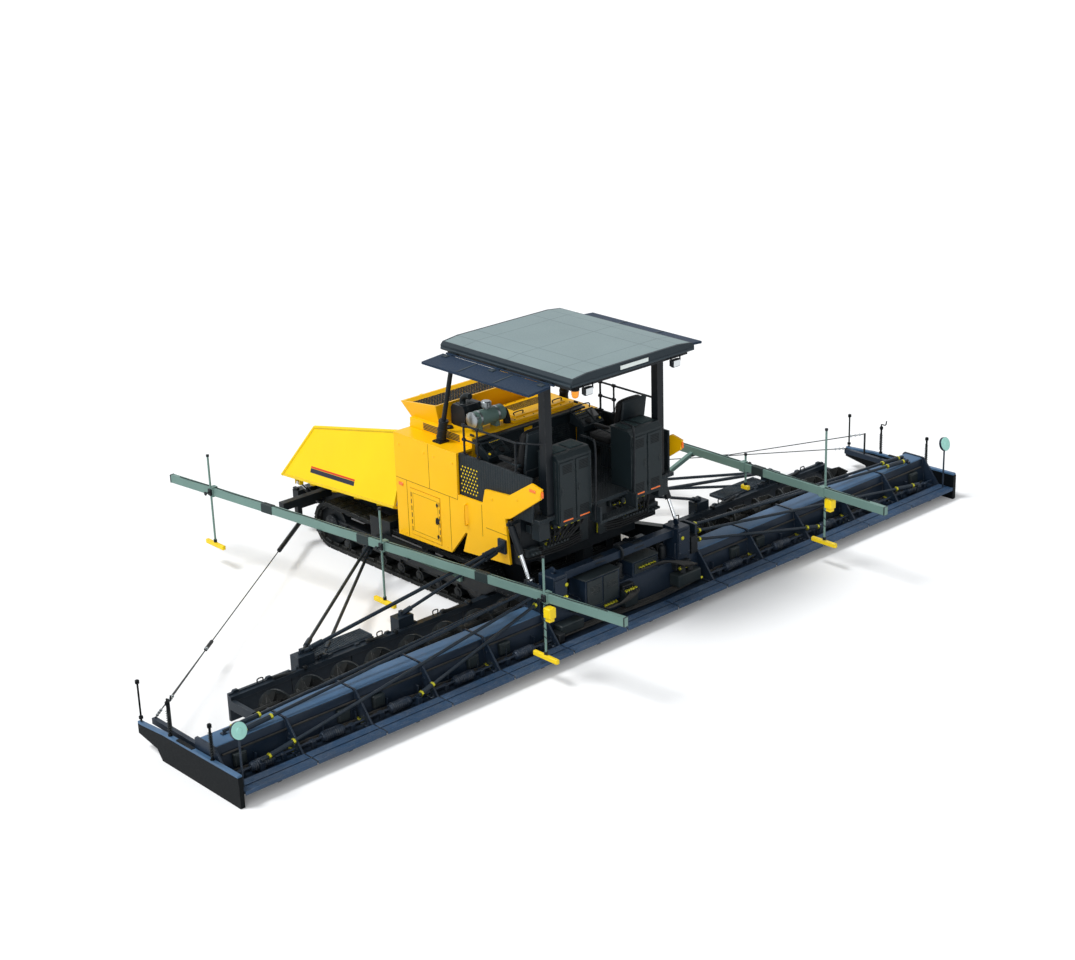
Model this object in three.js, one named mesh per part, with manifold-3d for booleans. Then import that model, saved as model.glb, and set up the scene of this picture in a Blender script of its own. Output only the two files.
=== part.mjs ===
// Tracked asphalt paver with a wide rigid screed.
//
// Millimetres. +X is the machine's left side, -Y its front, +Z up. The origin lies on the ground
// under the middle of the machine's overall box. Every piece below is worked out from the
// driving dimensions in the first section.

import * as THREE from 'three';
import { mergeVertices } from 'three/addons/utils/BufferGeometryUtils.js';
import Module from 'manifold-3d';

const wasm = await Module();
wasm.setup();

// ---------------------------------------------------------------- driving dimensions

const seat = 0.3; // gap between two pieces that rest on each other
const runGap = 6; // gap beside a piece that moves

// Tracks
const trackFrontY = -3100;
const trackRearY = 1000;
const trackHeight = 740;
const trackInnerX = 960;
const shoeWidth = 340;
const trackOuterX = trackInnerX + shoeWidth;
const beltThickness = 60;
const shoeCount = 42;
const shoeLip = 16;

// Chassis
const frameHalf = 880;
const frameWall = 100;
const frameBottomZ = 380;
const frameTopZ = 1000;
const frameFrontY = -3500;
const frameMidY = -900;
const frameRearY = 1250;
const tunnelFloorZ = 520;
const tunnelRoofZ = 900;
const rearBoxHalf = 1300;
const rearBoxFrontY = 1560;
const rearBoxRearY = 1700;

// Hopper
const hingeX = 740;
const hingeZ = trackHeight + 160;
const wingRearY = -960;
const wingKinkX = 1400;
const wingTopX = 1050;
const wingFrontLowY = -3740;
const wingFrontTopY = -3270;
const wingFrontLowZ = hingeZ + 60;
const wingRearLowZ = hingeZ + 250;
const wingFrontTopZ = 1770;
const wingRearTopZ = 2240;
const wingSheet = 40;

// Body and hood
const panelOuterX = 1360;
const panelThickness = 40;
const cowlHalf = 1050;
const cowlFrontY = -900;
const cowlRearY = 460;
const cowlTopZ = 2480;
const cowlSheet = 40;
const skirtTopZ = 2345;

// Operator's platform
const deckZ = 1750;
const deckThickness = 50;
const deckRearY = 2110;
const railTopZ = 2770;
const seatCentreX = 900;
const seatWidth = 520;

// Canopy
const roofHalf = 1150;
const roofFrontY = 0;
const roofRearY = 2620;
const roofTopZ = 3840;
const roofBottomZ = 3700;
const postX = 1060;
const rearPostY = 2000;
const flapOuterX = 1620;
const flapFrontY = 150;
const flapRearY = 2320;

// Screed
const towPivotY = -1250;
const towPivotZ = 560;
const towArmInnerX = 1368;
const towArmWidth = 127;
const centreScreedHalf = 1500;
const screedHalf = 6780;
const screedFrontY = 1950;
const screedPlateRearY = 2650;
const screedTopZ = 550;
const walkwayRearY = 2920;
const walkwayZ = 190;
const gateThickness = 64;
const extensionSections = 5;

// Augers and tunnel plates
const augerY = 1560;
const augerZ = 330;
const augerRadius = 200;
const augerShaftRadius = 45;
const augerInnerX = 110;
const augerOuterX = screedHalf - 1080;
const augerPitch = 560;
const tunnelPlateY = 1080;
const tunnelOuterX = screedHalf - 1020;

// Averaging beams
const beamHalfLength = 4335;
const beamZ = 1200;
const leftBeamFrontX = 2990;
const leftBeamRearX = 1910;
const rightBeamX = 3250;
const beamWidth = 70;
const beamHeight = 120;

// ---------------------------------------------------------------- shape helpers

// A closed three.js geometry as a solid that can be joined and cut.
function toSolid(geometry) {
  geometry.deleteAttribute('normal');
  geometry.deleteAttribute('uv');
  const merged = mergeVertices(geometry, 1e-3);
  return new wasm.Manifold(new wasm.Mesh({
    numProp: 3,
    vertProperties: new Float32Array(merged.attributes.position.array),
    triVerts: new Uint32Array(merged.index.array),
  }));
}

const join = (...solids) => solids.flat().reduce((sum, next) => sum.add(next));

// A block between two corners, whichever way round each pair of numbers is.
function block(xa, xb, ya, yb, za, zb) {
  const geometry = new THREE.BoxGeometry(Math.abs(xb - xa), Math.abs(yb - ya), Math.abs(zb - za));
  geometry.translate((xa + xb) / 2, (ya + yb) / 2, (za + zb) / 2);
  return toSolid(geometry);
}

function extrude(points, depth, matrix) {
  const shape = new THREE.Shape(points.map(([u, v]) => new THREE.Vector2(u, v)));
  const geometry = new THREE.ExtrudeGeometry(shape, { depth, bevelEnabled: false });
  return toSolid(geometry.applyMatrix4(matrix));
}

// An outline of (y, z) points carried across the machine from xa to xb.
function sideProfile(points, xa, xb) {
  const low = Math.min(xa, xb);
  const matrix = new THREE.Matrix4().set(0, 0, 1, low, 1, 0, 0, 0, 0, 1, 0, 0, 0, 0, 0, 1);
  return extrude(points, Math.abs(xb - xa), matrix);
}

// An outline of (x, z) points carried along the machine from ya to yb.
function frontProfile(points, ya, yb) {
  const high = Math.max(ya, yb);
  const matrix = new THREE.Matrix4().set(1, 0, 0, 0, 0, 0, -1, high, 0, 1, 0, 0, 0, 0, 0, 1);
  return extrude(points, Math.abs(yb - ya), matrix);
}

// An outline of (x, y) points raised from za to zb.
function planProfile(points, za, zb) {
  return extrude(points, zb - za, new THREE.Matrix4().makeTranslation(0, 0, za));
}

// A round bar between two points.
function rod(from, to, radius, sides = 8) {
  const a = new THREE.Vector3(...from);
  const b = new THREE.Vector3(...to);
  const along = b.clone().sub(a);
  const geometry = new THREE.CylinderGeometry(radius, radius, along.length(), sides);
  const turn = new THREE.Quaternion().setFromUnitVectors(new THREE.Vector3(0, 1, 0), along.normalize());
  const middle = a.add(b).multiplyScalar(0.5);
  return toSolid(geometry.applyMatrix4(new THREE.Matrix4().compose(middle, turn, new THREE.Vector3(1, 1, 1))));
}

// A flat-sided bar between two points, its height kept as near upright as it can be.
function bar(from, to, width, height) {
  const a = new THREE.Vector3(...from);
  const b = new THREE.Vector3(...to);
  const along = b.clone().sub(a);
  const length = along.length();
  along.normalize();
  const up = Math.abs(along.z) > 0.9 ? new THREE.Vector3(0, 1, 0) : new THREE.Vector3(0, 0, 1);
  const across = new THREE.Vector3().crossVectors(along, up).normalize();
  const upright = new THREE.Vector3().crossVectors(across, along);
  const matrix = new THREE.Matrix4().makeBasis(along, across.negate(), upright);
  matrix.setPosition(a.add(b).multiplyScalar(0.5));
  return toSolid(new THREE.BoxGeometry(length, width, height).applyMatrix4(matrix));
}

// A solid with two four-cornered faces, each given in the same order round.
function sixSided(faceA, faceB) {
  const geometry = new THREE.BufferGeometry();
  geometry.setAttribute('position', new THREE.Float32BufferAttribute([...faceA, ...faceB].flat(), 3));
  geometry.setIndex([0, 2, 1, 0, 3, 2, 4, 5, 6, 4, 6, 7,
    0, 1, 5, 0, 5, 4, 1, 2, 6, 1, 6, 5, 2, 3, 7, 2, 7, 6, 3, 0, 4, 3, 4, 7]);
  const vertices = [...faceA, ...faceB].map((corner) => new THREE.Vector3(...corner));
  const facing = new THREE.Vector3().crossVectors(
    vertices[1].clone().sub(vertices[0]), vertices[3].clone().sub(vertices[0]));
  const towards = vertices[4].clone().sub(vertices[0]);
  if (facing.dot(towards) < 0) {
    const index = geometry.index.array;
    for (let i = 0; i < index.length; i += 3) [index[i], index[i + 1]] = [index[i + 1], index[i]];
  }
  return toSolid(geometry);
}

// A sheet whose outer face has the four corners given, thickened by an offset vector.
function sheet(corners, offset) {
  const inner = corners.map((corner) => corner.map((value, i) => value + offset[i]));
  return sixSided(corners, inner);
}

// An eye round a cross pin: a short tube along X or Y.
function eye(centre, axis, outer, bore, width) {
  const reach = (amount) => centre.map((value, i) => value + (i === axis ? amount : 0));
  const body = rod(reach(-width / 2), reach(width / 2), outer, 16);
  return body.subtract(rod(reach(-width), reach(width), bore, 16));
}

const mix = (a, b, t) => a.map((value, i) => value + (b[i] - value) * t);

function unitVector(from, to) {
  const along = new THREE.Vector3(...to).sub(new THREE.Vector3(...from)).normalize();
  return along.toArray();
}

const along = (start, direction, distance) => start.map((value, i) => value + direction[i] * distance);

// A hydraulic cylinder between two cross pins: its barrel, with an open bore, and its rod. The
// rod's eye is bored wider than its pin by headClear all round, as its bush is left out.
function hydraulicCylinder({ base, head, pinAxis, barrelRadius, rodRadius, barrelEnd, rodLength, pinRadius,
  headClear }) {
  const direction = unitVector(base, head);
  const length = new THREE.Vector3(...head).distanceTo(new THREE.Vector3(...base));
  const eyeOuter = pinRadius + 18;
  const headOuter = pinRadius + headClear + 13;
  const eyeWidth = rodRadius * 1.6;
  const rodTop = length - rodLength;
  const bore = rod(along(base, direction, rodTop * 0.2), along(base, direction, barrelEnd + 10),
    rodRadius + 3, 12);
  const barrel = join(
    rod(along(base, direction, eyeOuter - 6), along(base, direction, barrelEnd), barrelRadius, 16),
    eye(base, pinAxis, eyeOuter, pinRadius + 2, eyeWidth),
  ).subtract(bore);
  const piston = join(
    rod(along(base, direction, rodTop), along(base, direction, length - headOuter + 6), rodRadius, 12),
    eye(head, pinAxis, headOuter, pinRadius + headClear, eyeWidth),
  );
  return { barrel, rod: piston };
}

// ---------------------------------------------------------------- scene and materials

const paver = new THREE.Group();

const paint = (color, roughness, metalness) => new THREE.MeshStandardMaterial({ color, roughness, metalness });
const bodyYellow = paint(0xffc60c, 0.4, 0.1);
const hopperYellow = paint(0xfbdc1c, 0.4, 0.1);
const charcoalPaint = paint(0x2b343b, 0.5, 0.2);
const blackPaint = paint(0x14171a, 0.5, 0.2);
const screedBlue = paint(0x27384b, 0.4, 0.5);
const trackSteel = paint(0x1c1f21, 0.7, 0.5);
const beamGrey = paint(0x8a9c96, 0.5, 0.4);
const roofGrey = paint(0x727c7c, 0.6, 0.2);
const chromeRod = paint(0xc4c8cc, 0.2, 1.0);
const seatBlack = paint(0x0f1012, 0.8, 0.0);
const filterGreen = paint(0x5b716b, 0.5, 0.3);

function addPiece(name, solid, material) {
  const result = solid.getMesh();
  const geometry = new THREE.BufferGeometry();
  geometry.setAttribute('position', new THREE.BufferAttribute(result.vertProperties, 3));
  geometry.setIndex(new THREE.BufferAttribute(result.triVerts, 1));
  geometry.computeVertexNormals();
  const mesh = new THREE.Mesh(geometry, material);
  mesh.name = name;
  paver.add(mesh);
}

const sides = [['left', 1], ['right', -1]];

// ---------------------------------------------------------------- tracks

// The track's outline: a stadium walked at even steps, with a raised shoe at every step.
function stadiumPoint(distance, radius) {
  const wheel = trackHeight / 2;
  const straight = trackRearY - trackFrontY - 2 * wheel;
  const arc = Math.PI * wheel;
  const lap = 2 * (straight + arc);
  const s = ((distance % lap) + lap) % lap;
  const frontY = trackFrontY + wheel;
  const rearY = trackRearY - wheel;
  if (s < straight) return [frontY + s, wheel - radius];
  if (s < straight + arc) {
    const angle = (s - straight) / wheel;
    return [rearY + radius * Math.sin(angle), wheel - radius * Math.cos(angle)];
  }
  if (s < 2 * straight + arc) return [rearY - (s - straight - arc), wheel + radius];
  const angle = (s - 2 * straight - arc) / wheel;
  return [frontY - radius * Math.sin(angle), wheel + radius * Math.cos(angle)];
}

function trackLoop(xa, xb) {
  const wheel = trackHeight / 2;
  const lap = 2 * (trackRearY - trackFrontY - 2 * wheel + Math.PI * wheel);
  const pitch = lap / shoeCount;
  const outer = [];
  for (let i = 0; i < shoeCount; i += 1) {
    const start = i * pitch;
    outer.push(stadiumPoint(start + pitch * 0.06, wheel));
    outer.push(stadiumPoint(start + pitch * 0.88, wheel));
    outer.push(stadiumPoint(start + pitch * 0.91, wheel - shoeLip));
    outer.push(stadiumPoint(start + pitch * 1.03, wheel - shoeLip));
  }
  const inner = [];
  const turns = 10;
  const straight = trackRearY - trackFrontY - 2 * wheel;
  for (const start of [straight, 2 * straight + Math.PI * wheel]) {
    for (let i = 0; i <= turns; i += 1) {
      const lessThanHalf = i === turns ? 0.001 : 0;
      inner.push(stadiumPoint(start + (i / turns) * Math.PI * wheel - lessThanHalf, wheel - beltThickness));
    }
  }
  const past = 5 * Math.sign(xb - xa);
  return sideProfile(outer, xa, xb).subtract(sideProfile(inner, xa - past, xb + past));
}

function trackFrame(side) {
  const wheel = trackHeight / 2;
  const clear = beltThickness + 1;
  const middleX = side * (trackInnerX + shoeWidth / 2);
  const frontY = trackFrontY + wheel;
  const rearY = trackRearY - wheel;
  const wheelRadius = wheel - clear - 1;
  const disc = (y, z, radius, half, count) => rod(
    [middleX - half, y, z], [middleX + half, y, z], radius, count);
  const carrierLowZ = wheel - 150;
  const rollerRadius = (carrierLowZ + 11 - clear) / 2;
  const rollerCount = 7;
  const pieces = [
    block(middleX - 90, middleX + 90, frontY, rearY, carrierLowZ, wheel + 90),
    disc(frontY, wheel, wheelRadius, 60, 20),
    disc(frontY, wheel, 110, 130, 12),
    disc(rearY, wheel, wheelRadius, 60, 20),
    disc(rearY, wheel, 170, 130, 12),
  ];
  for (let i = 0; i < rollerCount; i += 1) {
    const y = frontY + (i + 0.9) * ((rearY - frontY) / (rollerCount + 0.8));
    pieces.push(disc(y, clear + rollerRadius, rollerRadius, 120, 10));
  }
  for (const share of [0.33, 0.67]) {
    pieces.push(disc(frontY + share * (rearY - frontY), trackHeight - clear - 70, 70, 110, 10));
    const y = frontY + share * (rearY - frontY);
    pieces.push(block(middleX - 50, middleX + 50, y - 40, y + 40, wheel, trackHeight - clear - 60));
  }
  for (const share of [0.2, 0.75]) {
    const y = frontY + share * (rearY - frontY);
    pieces.push(block(side * (frameHalf + seat), middleX, y - 150, y + 150, frameBottomZ + 10, wheel + 85));
  }
  return join(pieces);
}

for (const [word, side] of sides) {
  addPiece(`${word}_track`, trackLoop(side * trackInnerX, side * trackOuterX), trackSteel);
  addPiece(`${word}_track_frame`, trackFrame(side), blackPaint);
}

// ---------------------------------------------------------------- chassis

const outriggerY = -3230;
const outriggerZ = 690;
const outriggerEndX = 1800;
const clampX = 1490;
const clampBottomZ = 390;
const wingPinY = -3430;
const wingCylinderBase = [940, wingPinY, 470];
const wingCylinderHead = [1300, wingPinY, hingeZ];
const wingPinRadius = 16;
const forkInner = 46;
const forkOuter = 62;
const liftX = 1431;
const liftBase = [1650, 1640];
const liftHead = [2000, 900];
const strutAnchorY = -1560;

function tractorFrame() {
  const pieces = [
    block(-frameHalf, frameHalf, frameMidY, frameRearY, frameBottomZ, frameTopZ).subtract(
      block(-frameHalf + frameWall + 40, frameHalf - frameWall - 40, frameMidY - 10, frameRearY + 10,
        tunnelFloorZ, tunnelRoofZ)),
    block(-frameHalf, frameHalf, frameRearY - 10, rearBoxRearY, tunnelRoofZ, frameTopZ + 10),
    block(-rearBoxHalf, rearBoxHalf, rearBoxFrontY, rearBoxRearY, frameTopZ, deckZ - deckThickness - seat),
    block(-augerInnerX + 20, augerInnerX - 20, augerY - 90, augerY + 90, augerZ - 90, frameTopZ),
    block(-frameHalf, frameHalf, frameFrontY, frameFrontY + 100, frameBottomZ + 20, tunnelFloorZ - seat),
    block(-frameHalf, frameHalf, -2250, -2130, frameBottomZ + 20, tunnelFloorZ - seat),
  ];
  for (const [, side] of sides) {
    pieces.push(block(side * (frameHalf - frameWall), side * frameHalf, frameFrontY, frameMidY + 10,
      frameBottomZ, hingeZ - 70));
    pieces.push(block(side * 850, side * (trackOuterX + 36), towPivotY - 100, towPivotY + 100,
      trackHeight + 25, trackHeight + 120));
    pieces.push(block(side * (trackOuterX + 8), side * (trackOuterX + 36), strutAnchorY - 60, towPivotY + 100,
      400, trackHeight + 120));
    pieces.push(rod([side * (trackOuterX + 20), towPivotY, towPivotZ],
      [side * (towArmInnerX + towArmWidth + 20), towPivotY, towPivotZ], 45, 16));
    pieces.push(rod([side * (rearBoxHalf - 30), ...liftBase], [side * (liftX + 55), ...liftBase], 25, 12));
    pieces.push(block(side * (frameHalf - 20), side * outriggerEndX, outriggerY - 60, outriggerY + 60,
      outriggerZ - 60, outriggerZ + 60));
    pieces.push(block(side * (clampX - 40), side * (clampX + 40), outriggerY - 45, outriggerY + 45,
      clampBottomZ, outriggerZ));
    pieces.push(rod([side * wingCylinderBase[0], wingPinY - forkOuter, wingCylinderBase[2]],
      [side * wingCylinderBase[0], wingPinY + forkOuter, wingCylinderBase[2]], wingPinRadius, 12));
    for (const fore of [-1, 1]) {
      pieces.push(block(side * (frameHalf - 10), side * (wingCylinderBase[0] + 35), wingPinY + fore * forkInner,
        wingPinY + fore * forkOuter, wingCylinderBase[2] - 35, wingCylinderBase[2] + 35));
    }
  }
  return join(pieces);
}

addPiece('tractor_frame', tractorFrame(), blackPaint);

const pushBeamRearY = frameFrontY - 60;
const pushBeamFrontY = pushBeamRearY - 140;
const rollerY = pushBeamFrontY - 130;
const rollerZ = 540;
const rollerInnerX = 150;
const rollerOuterX = 1080;
const rollerPin = 24;

function pushBeam() {
  const pieces = [
    block(-1250, 1250, pushBeamFrontY, pushBeamRearY, 400, 700),
    rod([-rollerOuterX - 40, rollerY, rollerZ], [rollerOuterX + 40, rollerY, rollerZ], rollerPin, 12),
    block(-110, 110, rollerY - 40, pushBeamFrontY + 10, rollerZ - 60, rollerZ + 60),
  ];
  for (const [, side] of sides) {
    pieces.push(block(side * (frameHalf - frameWall), side * frameHalf, pushBeamRearY - 10, frameFrontY - seat,
      450, 690));
    pieces.push(block(side * (rollerOuterX + 12), side * (rollerOuterX + 42), rollerY - 40, pushBeamFrontY + 10,
      rollerZ - 60, rollerZ + 60));
  }
  return join(pieces);
}

addPiece('push_beam', pushBeam(), charcoalPaint);

for (const [word, side] of sides) {
  const from = [side * (rollerInnerX - 20), rollerY, rollerZ];
  const to = [side * (rollerOuterX - 10), rollerY, rollerZ];
  const bore = rod([0, rollerY, rollerZ], [side * (rollerOuterX + 60), rollerY, rollerZ], rollerPin + 3, 12);
  addPiece(`${word}_push_roller`, rod(from, to, 100, 20).subtract(bore), charcoalPaint);
}

// ---------------------------------------------------------------- hopper

const floorHalf = 738;
const floorFrontY = frameFrontY + 5;
const slatPitch = 190;

function hopperFloor() {
  const pieces = [
    block(-floorHalf, floorHalf, floorFrontY, frameRearY - 10, tunnelFloorZ + seat, tunnelFloorZ + 30),
    block(-45, 45, floorFrontY, frameRearY - 10, tunnelFloorZ + seat, tunnelFloorZ + 120),
    block(-floorHalf, floorHalf, floorFrontY, floorFrontY + 26, tunnelFloorZ + seat, 700),
  ];
  for (const [, side] of sides) {
    pieces.push(block(side * (floorHalf - 26), side * floorHalf, floorFrontY, frameMidY - 40,
      tunnelFloorZ + seat, hingeZ - 38));
    for (let y = floorFrontY + 80; y < frameRearY - 80; y += slatPitch) {
      pieces.push(block(side * 70, side * 700, y, y + 60, tunnelFloorZ + 25, tunnelFloorZ + 52));
    }
  }
  return join(pieces);
}

addPiece('hopper_floor', hopperFloor(), trackSteel);

const rearWallY = cowlFrontY - 6;

function hopperRearWall() {
  const half = [[735, hingeZ + 5], [1310, hingeZ + 225], [cowlHalf - 20, wingRearTopZ - 10],
    [cowlHalf - 20, cowlTopZ - 102]];
  const outline = [...half, ...half.map(([x, z]) => [-x, z]).reverse()];
  return frontProfile(outline, rearWallY - 30, rearWallY);
}

addPiece('hopper_rear_wall', hopperRearWall(), bodyYellow);

function hopperWing(side) {
  const at = (x, y, z) => [side * x, y, z];
  const lowFront = at(wingKinkX, wingFrontLowY, wingFrontLowZ);
  const lowRear = at(wingKinkX, wingRearY, wingRearLowZ);
  const topRear = at(wingTopX, wingRearY, wingRearTopZ);
  const topFront = at(wingTopX, wingFrontTopY, wingFrontTopZ);
  const innerFront = at(hingeX + 5, frameFrontY + 10, hingeZ - 15);
  const innerRear = at(hingeX + 5, wingRearY, hingeZ - 15);
  const earX = wingCylinderHead[0];
  const pieces = [
    sheet([lowFront, lowRear, topRear, topFront], [-side * wingSheet, 0, -14]),
    sheet([innerFront, innerRear, lowRear, lowFront], [0, 0, wingSheet]),
    rod(at(hingeX, frameFrontY + 10, hingeZ), at(hingeX, wingRearY - 15, hingeZ), 28, 12),
    rod(mix(topFront, topRear, 0.005), mix(topFront, topRear, 0.995), 26, 8),
    rod(mix(lowFront, topFront, 0.01), topFront, 24, 8),
    rod(at(earX, wingPinY - forkOuter, wingCylinderHead[2]), at(earX, wingPinY + forkOuter, wingCylinderHead[2]),
      wingPinRadius, 12),
  ];
  for (const fore of [-1, 1]) {
    pieces.push(block(side * (earX - 35), side * (earX + 35), wingPinY + fore * forkInner,
      wingPinY + fore * forkOuter, wingCylinderHead[2] - 32, wingCylinderHead[2] + 90));
  }
  return join(pieces);
}

for (const [word, side] of sides) {
  addPiece(`${word}_hopper_wing`, hopperWing(side), hopperYellow);
  const mirrored = ([x, y, z]) => [side * x, y, z];
  const cylinder = hydraulicCylinder({
    base: mirrored(wingCylinderBase),
    head: mirrored(wingCylinderHead),
    pinAxis: 1,
    barrelRadius: 38,
    rodRadius: 20,
    barrelEnd: 368,
    rodLength: 370,
    pinRadius: wingPinRadius,
    headClear: 12.5,
  });
  addPiece(`${word}_wing_barrel`, cylinder.barrel, blackPaint);
  addPiece(`${word}_wing_rod`, cylinder.rod, chromeRod);
}

// ---------------------------------------------------------------- body panels, doors and hood

const doorFrontY = -590;
const doorRearY = 80;
const doorLowZ = 850;
const doorTopZ = 1570;
const panelFrontY = cowlFrontY - 3;

function sidePanel(side) {
  const outline = [
    [panelFrontY, 770], [290, 810], [610, 1200], [650, 1200], [545, 900], [1530, 980], [1465, 1640],
    [1570, 1670], [2180, 2100], [2210, 2250], [2010, 2290], [1550, 2000], [1060, 1960], [1000, 1740],
    [470, 1730], [480, 2340], [panelFrontY, 2340],
  ];
  const inner = side * (panelOuterX - panelThickness);
  const outer = side * panelOuterX;
  return join(
    sideProfile(outline, inner, outer).subtract(
      block(inner - side * 10, outer + side * 10, doorFrontY, doorRearY, doorLowZ, doorTopZ)),
    block(side * (cowlHalf + 5), outer - side * 5, panelFrontY, 475, 2305, 2340),
    block(side * (cowlHalf + 5), outer - side * 5, panelFrontY, panelFrontY + 30, 1020, 2335),
  );
}

function sideDoor(side) {
  const inner = side * (panelOuterX - panelThickness + 5);
  return block(inner, side * (panelOuterX + 4), doorFrontY + 8, doorRearY - 8, doorLowZ + 8, doorTopZ - 8);
}

const lidFrontY = -235;
const lidRearY = 440;
const lidRightX = -920;
const lidLeftX = 230;

function frontCowl() {
  const shell = block(-cowlHalf, cowlHalf, cowlFrontY, cowlRearY, frameTopZ + 1, cowlTopZ).subtract(
    block(-cowlHalf + cowlSheet, cowlHalf - cowlSheet, cowlFrontY + cowlSheet, cowlRearY - cowlSheet,
      frameTopZ - 10, cowlTopZ - cowlSheet));
  const ring = (half, frontY, rearY, frontZ, rearZ) => [
    [-half, frontY, frontZ], [half, frontY, frontZ], [half, rearY, rearZ], [-half, rearY, rearZ]];
  const scoop = sixSided(ring(960, cowlFrontY + 5, -330, 2385, 2385), ring(1060, -1080, -290, 2690, 2780));
  const mouth = sixSided(ring(930, cowlFrontY + 50, -360, 2500, 2500), ring(1033, -1050, -322, 2700, 2790));
  return join(shell, scoop).subtract(mouth).subtract(
    block(lidRightX + 40, lidLeftX - 40, lidFrontY + 40, lidRearY - 60, cowlTopZ - 60, cowlTopZ + 10));
}

function engineHood() {
  return join(
    block(lidRightX, lidLeftX, lidFrontY, lidRearY, cowlTopZ + 3, cowlTopZ + 40),
    block(lidRightX + 90, lidLeftX - 90, lidFrontY + 90, lidRearY - 90, cowlTopZ + 30, cowlTopZ + 62),
  );
}

for (const [word, side] of sides) {
  addPiece(`${word}_side_panel`, sidePanel(side), bodyYellow);
  addPiece(`${word}_side_door`, sideDoor(side), bodyYellow);
}
addPiece('front_cowl', frontCowl(), bodyYellow);
addPiece('engine_hood', engineHood(), bodyYellow);
addPiece('engine_block', block(-450, 450, -700, 330, frameTopZ + seat, 1950), blackPaint);
addPiece('muffler', join(
  sideProfile([[-220, 2500], [-180, cowlTopZ + seat], [40, cowlTopZ + seat], [80, 2520], [80, 2730], [40, 2790],
    [-180, 2790], [-220, 2740]], 500, 840),
), blackPaint);
addPiece('air_cleaner', join(
  rod([330, 270, 2650], [880, 270, 2650], 115, 20),
  rod([300, 270, 2650], [340, 270, 2650], 90, 20),
  block(420, 480, 200, 340, cowlTopZ + seat, 2600),
  block(740, 800, 200, 340, cowlTopZ + seat, 2600),
), filterGreen);

// ---------------------------------------------------------------- operator's platform

const skirtInnerX = 1290;
const skirtOuterX = 1318;
const cabinetInnerX = 380;
const cabinetOuterX = postX - 75;
const cabinetFrontY = 1755;
const cabinetRearY = 2150;

function operatorDeck() {
  const half = [[374, deckRearY], [374, cabinetFrontY - 5], [cabinetOuterX + 5, cabinetFrontY - 5],
    [cabinetOuterX + 5, 2080], [skirtInnerX + 5, 2080], [skirtInnerX + 5, cowlRearY + 10]];
  const outline = [...half, ...half.map(([x, y]) => [-x, y]).reverse()];
  const pieces = [
    planProfile(outline, deckZ - deckThickness, deckZ),
    block(-360, 360, deckRearY - 10, deckRearY + 180, 1500, 1530),
    block(-360, -330, deckRearY - 30, deckRearY + 180, 1500, deckZ - 10),
    block(330, 360, deckRearY - 30, deckRearY + 180, 1500, deckZ - 10),
  ];
  for (const [, side] of sides) {
    pieces.push(block(side * skirtInnerX, side * skirtOuterX, cowlRearY + 25, 1980,
      deckZ - deckThickness, skirtTopZ));
    pieces.push(block(side * (seatCentreX - 110), side * (seatCentreX + 110), 1120, 1400,
      deckZ - 10, 2140 - seat));
    pieces.push(block(side * (seatCentreX - 190), side * (seatCentreX + 190), 1060, 1460, 2080, 2140 - seat));
  }
  return join(pieces);
}

const seatShape = (side) => sideProfile(
  [[1000, 2140], [1500, 2140], [1590, 2190], [1690, 2860], [1660, 2890], [1590, 2880], [1480, 2300],
    [1450, 2275], [1020, 2270]],
  side * (seatCentreX - seatWidth / 2), side * (seatCentreX + seatWidth / 2));

const consoleShape = (side) => join(
  block(side * 780, side * 1020, 640, 780, deckZ + seat, 2260),
  sideProfile([[580, 2300], [860, 2220], [880, 2300], [640, 2450], [590, 2420]], side * 700, side * 1100),
);

const cabinetShape = (side) => join(
  sideProfile([[cabinetFrontY, 1600], [cabinetRearY, 1600], [cabinetRearY, 2540], [cabinetRearY - 60, 2600],
    [cabinetFrontY, 2600]], side * cabinetInnerX, side * cabinetOuterX),
  block(side * 500, side * 860, rearBoxRearY + seat, cabinetFrontY + 5, 1605, 1690),
);

addPiece('operator_deck', operatorDeck(), charcoalPaint);
for (const [word, side] of sides) {
  addPiece(`${word}_seat`, seatShape(side), seatBlack);
  addPiece(`${word}_console`, consoleShape(side), charcoalPaint);
  addPiece(`${word}_cabinet`, cabinetShape(side), charcoalPaint);
}

// ---------------------------------------------------------------- canopy

const roofRailZ = roofBottomZ - 60;

function canopyFrame() {
  const pieces = [
    block(-postX - 30, postX + 30, 160, 220, roofRailZ, roofBottomZ - seat),
    block(-postX - 30, postX + 30, rearPostY - 30, rearPostY + 30, roofRailZ, roofBottomZ - seat),
    block(-postX - 30, postX + 30, 2490, 2550, roofRailZ, roofBottomZ - seat),
  ];
  for (const [, side] of sides) {
    const railX = side * (skirtInnerX + 14);
    const rail = (ya, za, yb, zb, radius) => rod([railX, ya, za], [railX, yb, zb], radius, 8);
    const bend = [railX, 1680, railTopZ];
    const frontPostFoot = [side * (cowlHalf + 130), -60, 2362];
    const frontPostHead = [side * (postX + 25), 190, roofRailZ];
    pieces.push(
      block(side * (postX - 30), side * (postX + 30), 70, 2550, roofRailZ, roofBottomZ - seat),
      block(side * (postX - 60), side * (postX + 60), rearPostY - 60, rearPostY + 60,
        deckZ + seat, roofRailZ + 10),
      rod(frontPostFoot, [frontPostHead[0], frontPostHead[1], roofRailZ + 20], 34, 10),
      rod(frontPostFoot, mix(frontPostFoot, frontPostHead, 0.24), 68, 12),
      block(side * (cowlHalf + 45), side * (cowlHalf + 215), -145, 25, 2340 + seat, 2364),
      rail(600, railTopZ, 1690, railTopZ, 16),
      rail(600, 2560, 880, 2560, 14),
      rail(600, skirtTopZ + seat, 600, railTopZ, 16),
      rail(880, skirtTopZ + seat, 880, railTopZ, 14),
      rail(1660, skirtTopZ + seat, 1660, railTopZ, 16),
      rod(bend, [side * (postX + 40), rearPostY, railTopZ], 16, 8),
    );
  }
  return join(pieces);
}

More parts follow.
